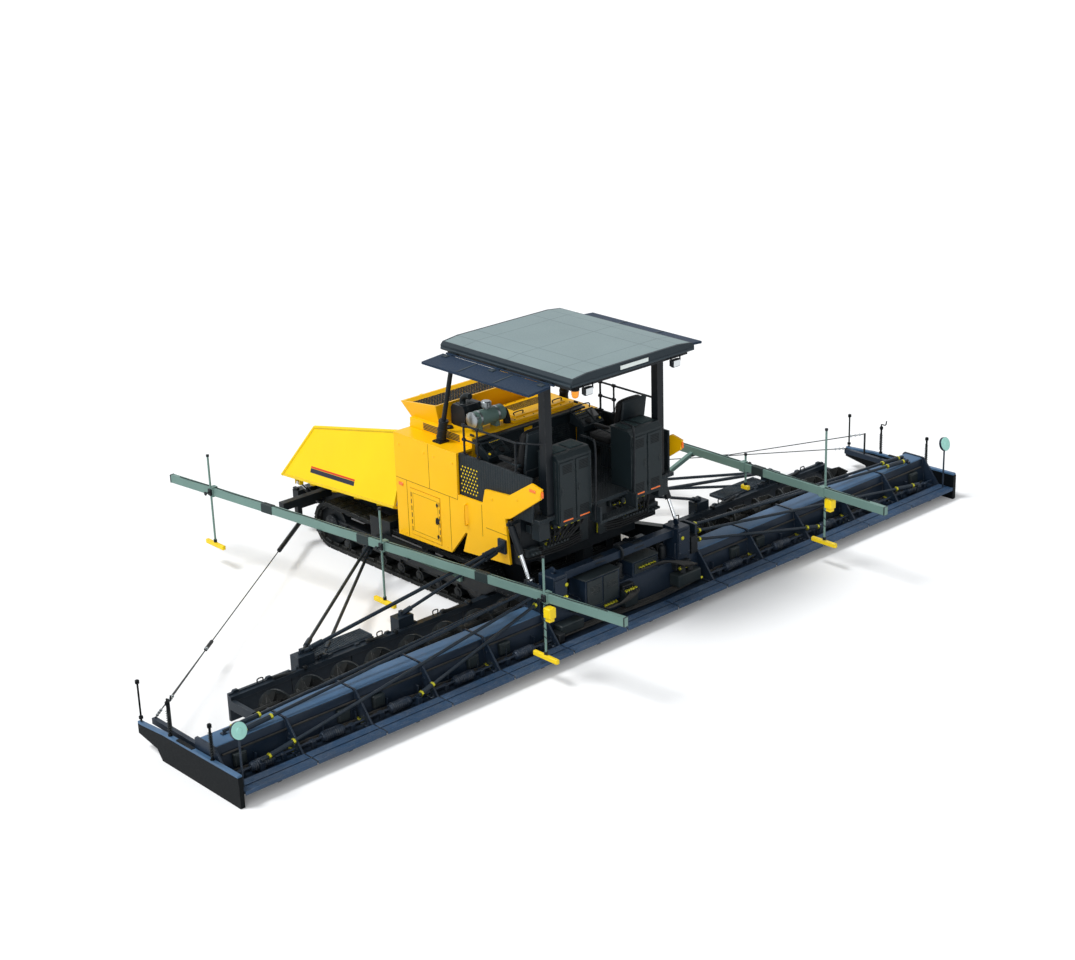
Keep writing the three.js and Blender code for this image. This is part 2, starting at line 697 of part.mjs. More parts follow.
const roofHalfOutline = [[roofHalf, roofBottomZ], [roofHalf, roofTopZ - 70], [roofHalf - 40, roofTopZ - 30],
  [roofHalf - 300, roofTopZ]];

const flapPivotX = roofHalf + 25;
const flapPivotZ = roofBottomZ - 22;
const flapArmPlaces = [flapFrontY + 120, (flapFrontY + flapRearY) / 2, flapRearY - 120];

function canopyRoof() {
  const outline = [...roofHalfOutline, ...roofHalfOutline.map(([x, z]) => [-x, z]).reverse()];
  const pieces = [frontProfile(outline, roofFrontY, roofRearY)];
  for (const [, side] of sides) {
    for (const y of flapArmPlaces) {
      pieces.push(block(side * (postX + 40), side * (flapPivotX - 16), y - 60, y + 60,
        flapPivotZ - 14, roofBottomZ + 5));
    }
  }
  return join(pieces);
}

function roofFlap(side) {
  const droop = 30;
  const panelTopZ = flapPivotZ + 12;
  const panel = sheet([
    [side * 1235, flapFrontY, panelTopZ], [side * 1235, flapRearY, panelTopZ],
    [side * flapOuterX, flapRearY, panelTopZ - droop], [side * flapOuterX, flapFrontY, panelTopZ - droop],
  ], [0, 0, -34]);
  const pieces = [panel, rod([side * flapPivotX, flapFrontY, flapPivotZ], [side * flapPivotX, flapRearY, flapPivotZ],
    14, 8)];
  for (const y of flapArmPlaces) {
    pieces.push(block(side * flapPivotX, side * 1260, y - 40, y + 40, flapPivotZ - 11, flapPivotZ + 11));
  }
  return join(pieces);
}

addPiece('canopy_frame', canopyFrame(), blackPaint);
addPiece('canopy_roof', canopyRoof(), roofGrey);
for (const [word, side] of sides) addPiece(`${word}_roof_flap`, roofFlap(side), charcoalPaint);

// ---------------------------------------------------------------- augers and tunnel plates

// A helical flight: a rectangular section stepped round and along the shaft.
function flight(side) {
  const steps = 8;
  const length = augerOuterX - augerInnerX - 60;
  const count = Math.round((length / augerPitch) * steps);
  const positions = [];
  const triangles = [];
  for (let i = 0; i <= count; i += 1) {
    const angle = side * (i / steps) * 2 * Math.PI;
    const x = side * (augerInnerX + 30 + (i / count) * length);
    for (const [radius, shift] of [[augerShaftRadius - 14, -8], [augerRadius, -8], [augerRadius, 8],
      [augerShaftRadius - 14, 8]]) {
      positions.push(x + shift * side, augerY + radius * Math.cos(angle), augerZ + radius * Math.sin(angle));
    }
  }
  const quad = (a, b, c, d) => triangles.push(a, b, c, a, c, d);
  for (let i = 0; i < count; i += 1) {
    for (let k = 0; k < 4; k += 1) {
      const next = (k + 1) % 4;
      quad(4 * i + k, 4 * i + next, 4 * (i + 1) + next, 4 * (i + 1) + k);
    }
  }
  quad(0, 3, 2, 1);
  quad(4 * count, 4 * count + 1, 4 * count + 2, 4 * count + 3);
  const geometry = new THREE.BufferGeometry();
  geometry.setAttribute('position', new THREE.Float32BufferAttribute(positions, 3));
  geometry.setIndex(triangles);
  const solid = toSolid(geometry);
  if (solid.volume() > 0) return solid;
  for (let i = 0; i < triangles.length; i += 3) {
    [triangles[i], triangles[i + 1]] = [triangles[i + 1], triangles[i]];
  }
  geometry.setIndex(triangles);
  return toSolid(geometry);
}

function auger(side) {
  const shaft = rod([side * (augerInnerX - 18), augerY, augerZ], [side * augerOuterX, augerY, augerZ],
    augerShaftRadius, 10);
  return shaft.add(flight(side));
}

const strutFoot = [4550, 1040, 600];
const secondStrutFoot = [4250, 1090, 470];
const innerStrutFoot = [2900, 1040, 600];
const stepInnerX = tunnelOuterX - 2340;
const footTopZ = 590;

function tunnel(side) {
  const at = (x, y, z) => [side * x, y, z];
  const innerX = frameHalf + 60;
  const segments = 5;
  const segment = (tunnelOuterX - innerX) / segments;
  const pieces = [
    block(side * (frameHalf + seat), side * tunnelOuterX, tunnelPlateY + 40, tunnelPlateY + 100, 370, 440),
  ];
  for (let i = 0; i < segments; i += 1) {
    const from = innerX + i * segment;
    const to = from + segment - 12;
    const drop = i === segments - 1 ? 20 : 0;
    const top = 440 + drop;
    const notched = [
      [from, 80], [to, 80], [to, top], [to - 60, top], [to - 80, top + 26], [to - 140, top + 26],
      [to - 160, top], [from + 380, top], [from + 360, top + 26], [from + 300, top + 26],
      [from + 280, top], [from, top],
    ];
    pieces.push(frontProfile(notched.map(([x, z]) => [side * x, z]), tunnelPlateY, tunnelPlateY + 42));
  }
  pieces.push(block(side * stepInnerX, side * (stepInnerX + 1000), tunnelPlateY - 290, tunnelPlateY + 10,
    440, 466));
  for (const foot of [strutFoot, innerStrutFoot]) {
    pieces.push(block(side * (foot[0] - 130), side * (foot[0] + 130), tunnelPlateY - 120, tunnelPlateY + 60,
      330, footTopZ));
    pieces.push(block(side * (foot[0] - 25), side * (foot[0] + 25), foot[1] - 30, foot[1] + 30,
      footTopZ - 10, footTopZ + 60));
  }
  const anchorX = trackOuterX + 36 + seat;
  pieces.push(rod(at(anchorX + 22, strutAnchorY, 500), at(...strutFoot), 24, 8));
  pieces.push(rod(at(anchorX + 22, strutAnchorY, 430), at(...secondStrutFoot), 24, 8));
  pieces.push(block(side * (secondStrutFoot[0] - 40), side * (secondStrutFoot[0] + 40), tunnelPlateY - 20,
    tunnelPlateY + 60, 400, 500));
  const wallX = panelOuterX + seat;
  pieces.push(block(side * wallX, side * (wallX + 40), 1330, 1480, 1130, 1330));
  pieces.push(rod(at(wallX + 30, 1430, 1250), at(...strutFoot), 26, 8));
  pieces.push(rod(at(wallX + 30, 1380, 1180), at(...innerStrutFoot), 24, 8));
  pieces.push(block(side * (augerOuterX + 2), side * tunnelOuterX, tunnelPlateY + 20, augerY + 80,
    augerZ - 70, augerZ + 60));
  return join(pieces);
}

for (const [word, side] of sides) {
  addPiece(`${word}_auger`, auger(side), trackSteel);
  addPiece(`${word}_tunnel`, tunnel(side), blackPaint);
}

// ---------------------------------------------------------------- lift cylinders

for (const [word, side] of sides) {
  const cylinder = hydraulicCylinder({
    base: [side * liftX, ...liftBase],
    head: [side * liftX, ...liftHead],
    pinAxis: 0,
    barrelRadius: 50,
    rodRadius: 26,
    barrelEnd: 440,
    rodLength: 413,
    pinRadius: 25,
    headClear: 9,
  });
  addPiece(`${word}_lift_barrel`, cylinder.barrel, blackPaint);
  addPiece(`${word}_lift_rod`, cylinder.rod, chromeRod);
}

// ---------------------------------------------------------------- screed

const screedDeckZ = 155;
const screedOutline = [
  [screedFrontY, 0], [screedPlateRearY, 0], [screedPlateRearY, screedDeckZ - 5], [2370, screedDeckZ + 10],
  [2322, screedTopZ - 10], [2290, screedTopZ], [screedFrontY + 35, screedTopZ], [screedFrontY, screedTopZ - 30],
];
const gussetOutline = [
  [screedFrontY - 22, 0], [screedPlateRearY + 22, 0], [screedPlateRearY + 22, screedDeckZ + 17], [2582, 282],
  [2342, screedTopZ + 17], [2312, screedTopZ + 22], [screedFrontY + 13, screedTopZ + 22],
  [screedFrontY - 22, screedTopZ - 8],
];

function walkway(xa, xb) {
  const pieces = [block(xa, xb, screedPlateRearY - 20, screedPlateRearY + 50, 100, walkwayZ - 15)];
  const boards = Math.max(1, Math.round(Math.abs(xb - xa) / 1000));
  const step = (xb - xa) / boards;
  for (let i = 0; i < boards; i += 1) {
    const inset = Math.sign(step) * 6;
    pieces.push(block(xa + i * step + inset, xa + (i + 1) * step - inset, screedPlateRearY - 10, walkwayRearY,
      walkwayZ - 22, walkwayZ));
    const middle = xa + (i + 0.5) * step;
    pieces.push(block(middle - 30, middle + 30, screedPlateRearY + 20, walkwayRearY - 40, 110, walkwayZ - 10));
  }
  return pieces;
}

function towArm(side) {
  const inner = side * towArmInnerX;
  const outer = side * (towArmInnerX + towArmWidth);
  const outline = [
    [towPivotY - 60, 455], [1120, 455], [1330, 578], [1900, 578], [1960, screedTopZ + seat],
    [2350, screedTopZ + seat],
    [2350, 800], [1980, 840], [1300, 720], [1000, 665], [towPivotY - 60, 665], [towPivotY - 110, 620],
    [towPivotY - 110, 500],
  ];
  const hole = rod([inner - side * 20, towPivotY, towPivotZ], [outer + side * 20, towPivotY, towPivotZ], 49, 16);
  const pieces = [sideProfile(outline, inner, outer).subtract(hole)];
  const [headY, headZ] = liftHead;
  for (const shift of [-1, 1]) {
    const near = side * liftX + shift * 40;
    const far = side * liftX + shift * 58;
    pieces.push(sideProfile([[headY - 70, 780], [headY + 70, 780], [headY + 40, headZ + 40], [headY - 40, headZ + 40]],
      near, far));
  }
  pieces.push(rod([side * liftX - 58, headY, headZ], [side * liftX + 58, headY, headZ], 25, 12));
  return join(pieces);
}

function centreScreed() {
  const pieces = [
    sideProfile(screedOutline, -centreScreedHalf, centreScreedHalf),
    ...walkway(-centreScreedHalf, centreScreedHalf),
    block(-700, -200, 2060, 2330, screedTopZ - 20, 760),
    block(150, 800, 2100, 2420, 380, 820),
    bar([-1090, 2200, 930], [1090, 2200, 930], 130, 110),
  ];
  for (const [, side] of sides) {
    pieces.push(block(side * 1080, side * 1320, 2060, 2360, screedTopZ - 20, 1000));
  }
  return join(pieces);
}

const stayRadius = 22;
const ropeEndX = screedHalf - 110;
const alongExtension = (share) => centreScreedHalf + share * (screedHalf - centreScreedHalf);
const stayEnds = [
  [alongExtension(0.947), 2130, 600],
  [alongExtension(0.9318), 2290, 600],
  [alongExtension(0.9091), 2590, 300],
  [alongExtension(0.4545), 2608, 300],
];
const discX = screedHalf - 80;

function extensionScreed(side) {
  const innerX = centreScreedHalf + seat;
  const pieces = [
    sideProfile(screedOutline, side * innerX, side * screedHalf),
    ...walkway(side * (innerX + 1), side * (screedHalf - 1)),
  ];
  const section = (screedHalf - innerX) / extensionSections;
  for (let i = 0; i <= extensionSections; i += 1) {
    const x = innerX + 12 + i * section - (i === extensionSections ? 24 : 0);
    pieces.push(sideProfile(gussetOutline, side * (x - 12), side * (x + 12)));
  }
  for (const [x, y, z] of stayEnds) {
    pieces.push(block(side * (x - 30), side * (x + 30), y - 30, y + 30, 120, z - stayRadius - 2 * seat));
  }
  pieces.push(block(side * (ropeEndX - 30), side * (ropeEndX + 30), 830, screedFrontY + 20, 300, 380));
  pieces.push(rod([side * discX, 2780, walkwayZ - 10], [side * discX, 2780, 860], 14, 8));
  pieces.push(rod([side * discX, 2762, 914], [side * discX, 2800, 927], 110, 20));
  return join(pieces);
}

const stayTowerX = 1540;

function stays(side) {
  const at = (x, y, z) => [side * x, y, z];
  const starts = [[stayTowerX - 5, 2110, 850], [stayTowerX - 5, 2190, 900], [stayTowerX - 5, 2270, 830],
    [stayTowerX - 5, 2270, 700]];
  const pieces = [
    block(side * (towArmInnerX + towArmWidth + seat), side * stayTowerX, 2060, 2300, screedTopZ + 22 + seat, 950),
  ];
  starts.forEach((start, i) => {
    const end = stayEnds[i];
    pieces.push(rod(at(...start), at(...end), stayRadius, 8));
    pieces.push(rod(at(...mix(start, end, 0.9)), at(...mix(start, end, 0.97)), 34, 8));
  });
  return join(pieces);
}

function rope(side) {
  const at = (x, y, z) => [side * x, y, z];
  const start = [clampX, outriggerY, clampBottomZ - 60];
  const end = [ropeEndX, 870, 390];
  const fork = mix(start, end, 0.68);
  return join(
    rod(at(...start), at(...mix(start, end, 0.17)), 36, 10),
    rod(at(...mix(start, end, 0.15)), at(...fork), 8, 6),
    rod(at(...mix(start, end, 0.66)), at(...mix(start, end, 0.7)), 26, 8),
    rod(at(...fork), at(...end), 8, 6),
    rod(at(...fork), at(ropeEndX, 1220, 725), 8, 6),
    rod(at(ropeEndX, 1220, 380 + seat), at(ropeEndX, 1220, 735), 16, 8),
  );
}

function endGate(side) {
  const inner = side * (screedHalf + runGap);
  const outer = side * (screedHalf + runGap + gateThickness);
  const outline = [[1250, 0], [walkwayRearY, 0], [walkwayRearY, 400], [1300, 370], [820, 330], [740, 330],
    [740, 200], [1150, 130]];
  const middleX = (inner + outer) / 2;
  const post = (y, from, to, radius) => rod([middleX, y, from], [middleX, y, to], radius, 8);
  return join(
    sideProfile(outline, inner, outer),
    post(780, 300, 930, 13),
    post(1440, 330, 870, 16),
    post(2350, 350, 900, 16),
  );
}

for (const [word, side] of sides) {
  addPiece(`${word}_tow_arm`, towArm(side), blackPaint);
  addPiece(`${word}_screed`, extensionScreed(side), screedBlue);
  addPiece(`${word}_stays`, stays(side), screedBlue);
  addPiece(`${word}_rope`, rope(side), blackPaint);
  addPiece(`${word}_end_gate`, endGate(side), screedBlue);
}
addPiece('centre_screed', centreScreed(), screedBlue);

// ---------------------------------------------------------------- averaging beams

function averagingBeam(side, frontX, rearX, rodPlaces) {
  const onBeam = (y) => {
    const share = (y + beamHalfLength) / (2 * beamHalfLength);
    return side * (frontX + (rearX - frontX) * share);
  };
  const pieces = [
    bar([onBeam(-beamHalfLength), -beamHalfLength, beamZ], [onBeam(beamHalfLength), beamHalfLength, beamZ],
      beamWidth, beamHeight),
  ];
  for (const [y, lowZ, topZ, footHalf] of rodPlaces) {
    const x = onBeam(y) + side * (beamWidth / 2 + 12);
    pieces.push(rod([x, y, lowZ], [x, y, topZ], 16, 8));
    pieces.push(block(onBeam(y) - 50, onBeam(y) + 50, y - 45, y + 45, beamZ - 75, beamZ + 75));
    pieces.push(block(x - 25, x + 25, y - footHalf, y + footHalf, lowZ - 20, lowZ + 40));
  }
  for (const y of [-1100, 600]) {
    const armX = side * (towArmInnerX + towArmWidth + seat);
    pieces.push(bar([armX + side * 30, y, 600], [onBeam(y), y, beamZ - 40], 60, 60));
    pieces.push(block(armX, armX + side * 40, y - 60, y + 60, 520, 650));
  }
  return join(pieces);
}

addPiece('left_averaging_beam', averagingBeam(1, leftBeamFrontX, leftBeamRearX,
  [[-3390, 350, 1790, 225], [140, 350, 1770, 225], [3050, 350, 1790, 225]]), beamGrey);
addPiece('right_averaging_beam', averagingBeam(-1, rightBeamX, rightBeamX,
  [[-3390, 350, 1790, 225], [1645, 840, 1390, 70], [3190, 380, 2150, 225]]), beamGrey);

export default paver;
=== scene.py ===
"""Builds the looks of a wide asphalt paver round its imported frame."""

from __future__ import annotations

import logging
import math
from dataclasses import dataclass, field
from enum import Enum
from functools import partial
from typing import Any, Callable, ClassVar, Iterable, Sequence

import bmesh
import bpy
import numpy as np
from mathutils import Matrix, Vector
from numpy.typing import NDArray

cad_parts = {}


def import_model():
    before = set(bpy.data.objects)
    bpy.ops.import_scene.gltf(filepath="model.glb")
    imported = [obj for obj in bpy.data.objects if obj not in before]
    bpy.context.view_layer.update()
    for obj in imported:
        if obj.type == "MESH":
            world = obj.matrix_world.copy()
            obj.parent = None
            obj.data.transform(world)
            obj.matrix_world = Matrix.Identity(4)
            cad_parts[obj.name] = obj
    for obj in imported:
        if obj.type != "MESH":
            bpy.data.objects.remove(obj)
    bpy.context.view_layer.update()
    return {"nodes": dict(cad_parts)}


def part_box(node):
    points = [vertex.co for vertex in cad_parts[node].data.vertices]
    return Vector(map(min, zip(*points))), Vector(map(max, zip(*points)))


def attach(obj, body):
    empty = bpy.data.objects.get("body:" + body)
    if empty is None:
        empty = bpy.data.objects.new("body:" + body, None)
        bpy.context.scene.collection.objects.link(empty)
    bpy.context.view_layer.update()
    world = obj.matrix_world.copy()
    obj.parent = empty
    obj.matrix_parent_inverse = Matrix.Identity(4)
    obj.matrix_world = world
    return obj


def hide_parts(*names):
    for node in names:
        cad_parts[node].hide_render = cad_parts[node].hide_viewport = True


Array = NDArray[np.float64]
Point = Sequence[float]
Profile = Sequence[tuple[float, float]]
Object, Material = bpy.types.Object, bpy.types.Material
Tree, Socket = bpy.types.NodeTree, bpy.types.NodeSocket

log = logging.getLogger("paver")
CREASE = 38.0

LEFT, REAR, FRONT = (1, 0, 0), (0, 1, 0), (0, -1, 0)
UP, DOWN = (0, 0, 1), (0, 0, -1)

SIDES: tuple[tuple[str, int], ...] = (("left", 1), ("right", -1))


# ---- surfaces


def unit(vector: Point | Array) -> Array:
    """The vector divided by its own length."""
    array = np.asarray(vector, float)
    return array / np.linalg.norm(array)


def across(direction: Point | Array) -> tuple[Array, Array]:
    """Two unit vectors square to a direction and to each other, the second as near upright as it can be.

    Args:
        direction: the direction that both are square to.

    Returns:
        The sideways vector and the upward one.
    """
    ahead = unit(direction)
    up = np.array([0.0, 1.0, 0.0]) if abs(ahead[2]) > 0.95 else np.array([0.0, 0.0, 1.0])
    sideways = unit(np.cross(ahead, up))
    return sideways, np.cross(sideways, ahead)


def around(count: int) -> Array:
    """Angles at even shares of a full turn."""
    return np.linspace(0, 2 * math.pi, count, endpoint=False)


def smooth_path(points: Iterable[Point], steps: int = 8) -> Array:
    """A Catmull-Rom curve through points, at even shares between each pair.

    Each stretch is the cubic whose ends are two neighbouring points and whose end
    slopes are half the distance between the points on either side of them.

    Args:
        points: the points to pass through.
        steps: how many places to take between each pair.

    Returns:
        The points of the curve, one a row.
    """
    knots = np.asarray(list(points), float)
    padded = np.vstack([2 * knots[0] - knots[1], knots, 2 * knots[-1] - knots[-2]])
    share = np.linspace(0, 1, steps, endpoint=False)[None, :, None]
    p0, p1, p2, p3 = (padded[i : len(padded) - 3 + i][:, None, :] for i in range(4))
    curve = 0.5 * (
        2 * p1 + (p2 - p0) * share + (2 * p0 - 5 * p1 + 4 * p2 - p3) * share**2 + (3 * p1 - p0 - 3 * p2 + p3) * share**3
    )
    return np.vstack([curve.reshape(-1, 3), knots[-1:]])


def octagon(left: float, low: float, right: float, high: float, cut: float) -> Array:
    """A rectangle's corners with each cut off, in order round it."""
    return np.array(
        [(left + cut, low), (right - cut, low), (right, low + cut), (right, high - cut), (right - cut, high),
        (left + cut, high), (left, high - cut), (left, low + cut)])


def sleeve(length: float, inner: float, outer: float, slope: float = 0) -> Profile:
    """A hollow sleeve's profile, its ends at right angles or sloped by a small length."""
    return [(0, inner), (slope, outer), (length - slope, outer), (length, inner)]


def cap(height: float, radius: float, shoulder: float, crown: float) -> Profile:
    """A cap's profile: straight up to its shoulder, drawn in to the crown's radius, then closed."""
    return [(0, radius), (shoulder, radius), (height, crown), (height, 0)]


class Shape:
    """Surfaces gathered as whole arrays, to become one object's mesh."""

    def __init__(self) -> None:
        """Starts with no surface."""
        self.points: list[Array] = []
        self.faces: list[list[int]] = []
        self.count = 0

    def rings(self, rings: Array) -> Shape:
        """Joins rings of points: face (i, j) has corners (i, j), (i, j+1), (i+1, j+1) and (i+1, j).

        The first and last rings are filled.

        Args:
            rings: points with shape (rings, points a ring, 3).

        Returns:
            The same shape, so that calls can follow each other.
        """
        rows, columns, _ = rings.shape
        index = self.count + np.arange(rows * columns).reshape(rows, columns)
        near, far = index[:-1], index[1:]
        quads = np.stack([near, np.roll(near, -1, 1), np.roll(far, -1, 1), far], -1)
        self.faces += quads.reshape(-1, 4).tolist() + [index[0][::-1].tolist(), index[-1].tolist()]
        self.points.append(rings.reshape(-1, 3))
        self.count += rows * columns
        return self

    def tube(self, path: Iterable[Point] | Array, radius: float | Array, sides: int = 10) -> Shape:
        """A round section carried along a path: centre + radius * (cos angle * sideways + sin angle * upward).

        Args:
            path: the points of the centre line.
            radius: one radius, or one for each point.
            sides: how many flats the section has.
        """
        line = np.asarray(list(path), float)
        slope = np.gradient(line, axis=0)
        slope /= np.linalg.norm(slope, axis=1, keepdims=True)
        sideways, upward = np.empty_like(line), np.empty_like(line)
        sideways[0], upward[0] = across(slope[0])
        for i in range(1, len(line)):
            kept = upward[i - 1] - slope[i] * (upward[i - 1] @ slope[i])
            upward[i] = unit(kept)
            sideways[i] = np.cross(slope[i], upward[i])
        angle = around(sides)
        reach = np.broadcast_to(np.asarray(radius, float), len(line))[:, None, None]
        ring = np.cos(angle)[None, :, None] * sideways[:, None] + np.sin(angle)[None, :, None] * upward[:, None]
        return self.rings(line[:, None] + reach * ring)

    def turned(self, start: Point, direction: Point, profile: Profile, sides: int = 20) -> Shape:
        """A profile of (distance along, radius) turned about a line.

        Args:
            start: where distance 0 is.
            direction: which way the distance runs.
            profile: pairs of distance and radius.
            sides: how many flats each ring has.
        """
        ahead = unit(direction)
        sideways, upward = across(ahead)
        pairs = np.asarray(profile, float)
        angle = around(sides)
        ring = np.cos(angle)[:, None] * sideways + np.sin(angle)[:, None] * upward
        middle = np.asarray(start, float) + pairs[:, :1] * ahead
        return self.rings(middle[:, None] + pairs[:, 1, None, None] * ring[None])

    def rod(self, start: Point, end: Point, radius: float, sides: int = 12, edge: float = 0.15) -> Shape:
        """A round bar between two points, its ends turned down by a share of its radius."""
        run = np.asarray(end, float) - np.asarray(start, float)
        length = float(np.linalg.norm(run))
        chamfer = radius * edge
        profile = [(0, radius - chamfer), (chamfer, radius), (length - chamfer, radius), (length, radius - chamfer)]
        return self.turned(start, run, profile, sides)

    def outline(self, points: Iterable[Point], axis: int, low: float, high: float, edge: float = 0.004) -> Shape:
        """A flat outline carried along an axis, drawn in by a chamfer at both ends.

        Each corner is drawn in along the mean of its two sides' inward normals.

        Args:
            points: the outline as pairs, in the order of the two axes that are left.
            axis: 0, 1 or 2, the axis that it is carried along.
            low: where it starts on that axis.
            high: where it ends.
            edge: the chamfer's size.
        """
        flat = np.asarray(list(points), float)
        area = np.sum(flat[:, 0] * np.roll(flat[:, 1], -1) - np.roll(flat[:, 0], -1) * flat[:, 1])
        ahead = np.roll(flat, -1, 0) - flat
        ahead /= np.linalg.norm(ahead, axis=1, keepdims=True)
        normal = np.stack([-ahead[:, 1], ahead[:, 0]], -1) * np.sign(area)
        inward = normal + np.roll(normal, 1, 0)
        inward /= np.maximum((inward**2).sum(1, keepdims=True) / 2, 0.3)
        small = min(edge, abs(high - low) * 0.4)
        levels = [(low, small), (low + small, 0), (high - small, 0), (high, small)]
        others = [i for i in range(3) if i != axis]
        rings = np.empty((4, len(flat), 3))
        for row, (level, inset) in enumerate(levels):
            rings[row][:, others] = flat + inward * inset
            rings[row][:, axis] = level
        return self.rings(rings)

    def block(self, low: Point, high: Point, edge: float = 0.006) -> Shape:
        """A box with all twelve edges chamfered, as an eight-sided outline carried upwards."""
        (xa, ya, za), (xb, yb, zb) = np.minimum(low, high), np.maximum(low, high)
        cut = min(edge, (xb - xa) * 0.3, (yb - ya) * 0.3, (zb - za) * 0.3)
        return self.outline(octagon(xa, ya, xb, yb, cut), 2, za, zb, cut)

    def bar(self, start: Point, end: Point, width: float, height: float, edge: float = 0.004) -> Shape:
        """A flat-sided bar between two points, its section kept as near upright as it can be."""
        a, b = np.asarray(start, float), np.asarray(end, float)
        sideways, upward = across(b - a)
        half, tall = width / 2, height / 2
        section = octagon(-half, -tall, half, tall, min(edge, half * 0.5, tall * 0.5))
        ring = section[:, :1] * sideways + section[:, 1:] * upward
        return self.rings(np.stack([a + ring, b + ring]))

    def bolts(self, centres: Iterable[Point], normal: Point, radius: float = 0.016, height: float = 0.012) -> Shape:
        """Six-sided bolt heads on a face, each sunk a little into it and chamfered at its top.

        Args:
            centres: where each head stands on the face.
            normal: the face's outward direction.
            radius: a head's size from middle to corner.
            height: how far a head stands out.
        """
        for place in centres:
            self.turned(place, normal, [(-0.002, radius), (height * 0.8, radius), (height, radius * 0.8)], 6)
        return self

    def planks(self, start: float, end: float) -> None:
        """One length of the screed's walkway: two planks, a folded nose and seven grip bars.

        Args:
            start: where it starts across the machine.
            end: where it ends.
        """
        front, rear, top = 2.64, 2.92, 0.19
        self.block((start, front + 0.02, top - 0.002), (end, rear - 0.13, top + 0.01))
        self.block((start, rear - 0.115, top - 0.002), (end, rear - 0.004, top + 0.01))
        self.block((start, rear - 0.004, top - 0.04), (end, rear + 0.01, top + 0.014))
        for y in np.linspace(front + 0.04, rear - 0.03, 7):
            self.block((start + 0.03, y, top + 0.008), (end - 0.03, y + 0.008, top + 0.014), 0.002)

    def end_nuts(self, routes: Iterable[Array], size: float, length: float) -> None:
        """A six-sided nut at both ends of each pipe.

        Args:
            routes: the pipes' centre lines.
            size: a nut's radius.
            length: how long its flats are.
        """
        for route in routes:
            for start, inner in ((route[0], route[1]), (route[-1], route[-2])):
                self.turned(
                    start, inner - start, [(-0.004, 0.02), (0, size), (length, size), (length + 0.004, 0.02)], 6)

    def curve(self, points: Iterable[Point], steps: int, radius: float, sides: int = 8) -> Shape:
        """A round section carried along a smooth path through points."""
        return self.tube(smooth_path(points, steps), radius, sides)

    def copies(self, other: Shape, offsets: Iterable[Point]) -> Shape:
        """Adds a shape again at each of several offsets, as one broadcast sum."""
        shifts = np.asarray(list(offsets), float)
        points = np.vstack(other.points)
        moved = (points[None] + shifts[:, None]).reshape(-1, 3)
        for i in range(len(shifts)):
            start = self.count + i * len(points)
            self.faces += [[corner + start for corner in face] for face in other.faces]
        self.points.append(moved)
        self.count += len(moved)
        return self

    def mirrored(self) -> Shape:
        """The same shape on the other side of the machine."""
        other = Shape()
        other.points = [np.vstack(self.points) * np.array([-1.0, 1.0, 1.0])]
        other.faces = [face[::-1] for face in self.faces]
        other.count = self.count
        return other


Maker = Callable[[], None]


class Workshop:
    """Turns shapes into finished objects that ride on the machine's bodies."""

    def __init__(self) -> None:
        """Starts with no piece made."""
        self.made = 0

    def piece(self, name: str, shape: Shape, finish: Finish, body: str, slot: str, crease: float) -> Object:
        """Makes one object out of a shape.

        Args:
            name: the object's name.
            shape: its surfaces.
            finish: what it is made of.
            body: the body that it rides on.
            slot: the record's slot for its finish; not used.
            crease: the angle in degrees past which an edge stays sharp.

        Returns:
            The new object.
        """
        mesh = bpy.data.meshes.new(name)
        mesh.from_pydata(np.vstack(shape.points).tolist(), [], shape.faces)
        work = bmesh.new()
        work.from_mesh(mesh)
        bmesh.ops.recalc_face_normals(work, faces=work.faces)
        work.to_mesh(mesh)
        work.free()
        mesh.polygons.foreach_set("use_smooth", np.ones(len(mesh.polygons), bool))
        mesh.set_sharp_from_angle(angle=math.radians(crease))
        mesh.materials.append(finish.material())
        obj = bpy.data.objects.new(name, mesh)
        bpy.context.scene.collection.objects.link(obj)
        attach(obj, body)
        self.made += 1
        log.info("piece %s on %s, %d faces", name, body, len(mesh.polygons))
        return obj


# ---- finishes


def linear(code: str) -> tuple[float, float, float, float]:
    """A colour written as six hexadecimal digits, as linear light."""
    parts = np.array([int(code[i : i + 2], 16) for i in (0, 2, 4)]) / 255
    light = np.where(parts <= 0.04045, parts / 12.92, ((parts + 0.055) / 1.055) ** 2.4)
    return (float(light[0]), float(light[1]), float(light[2]), 1.0)


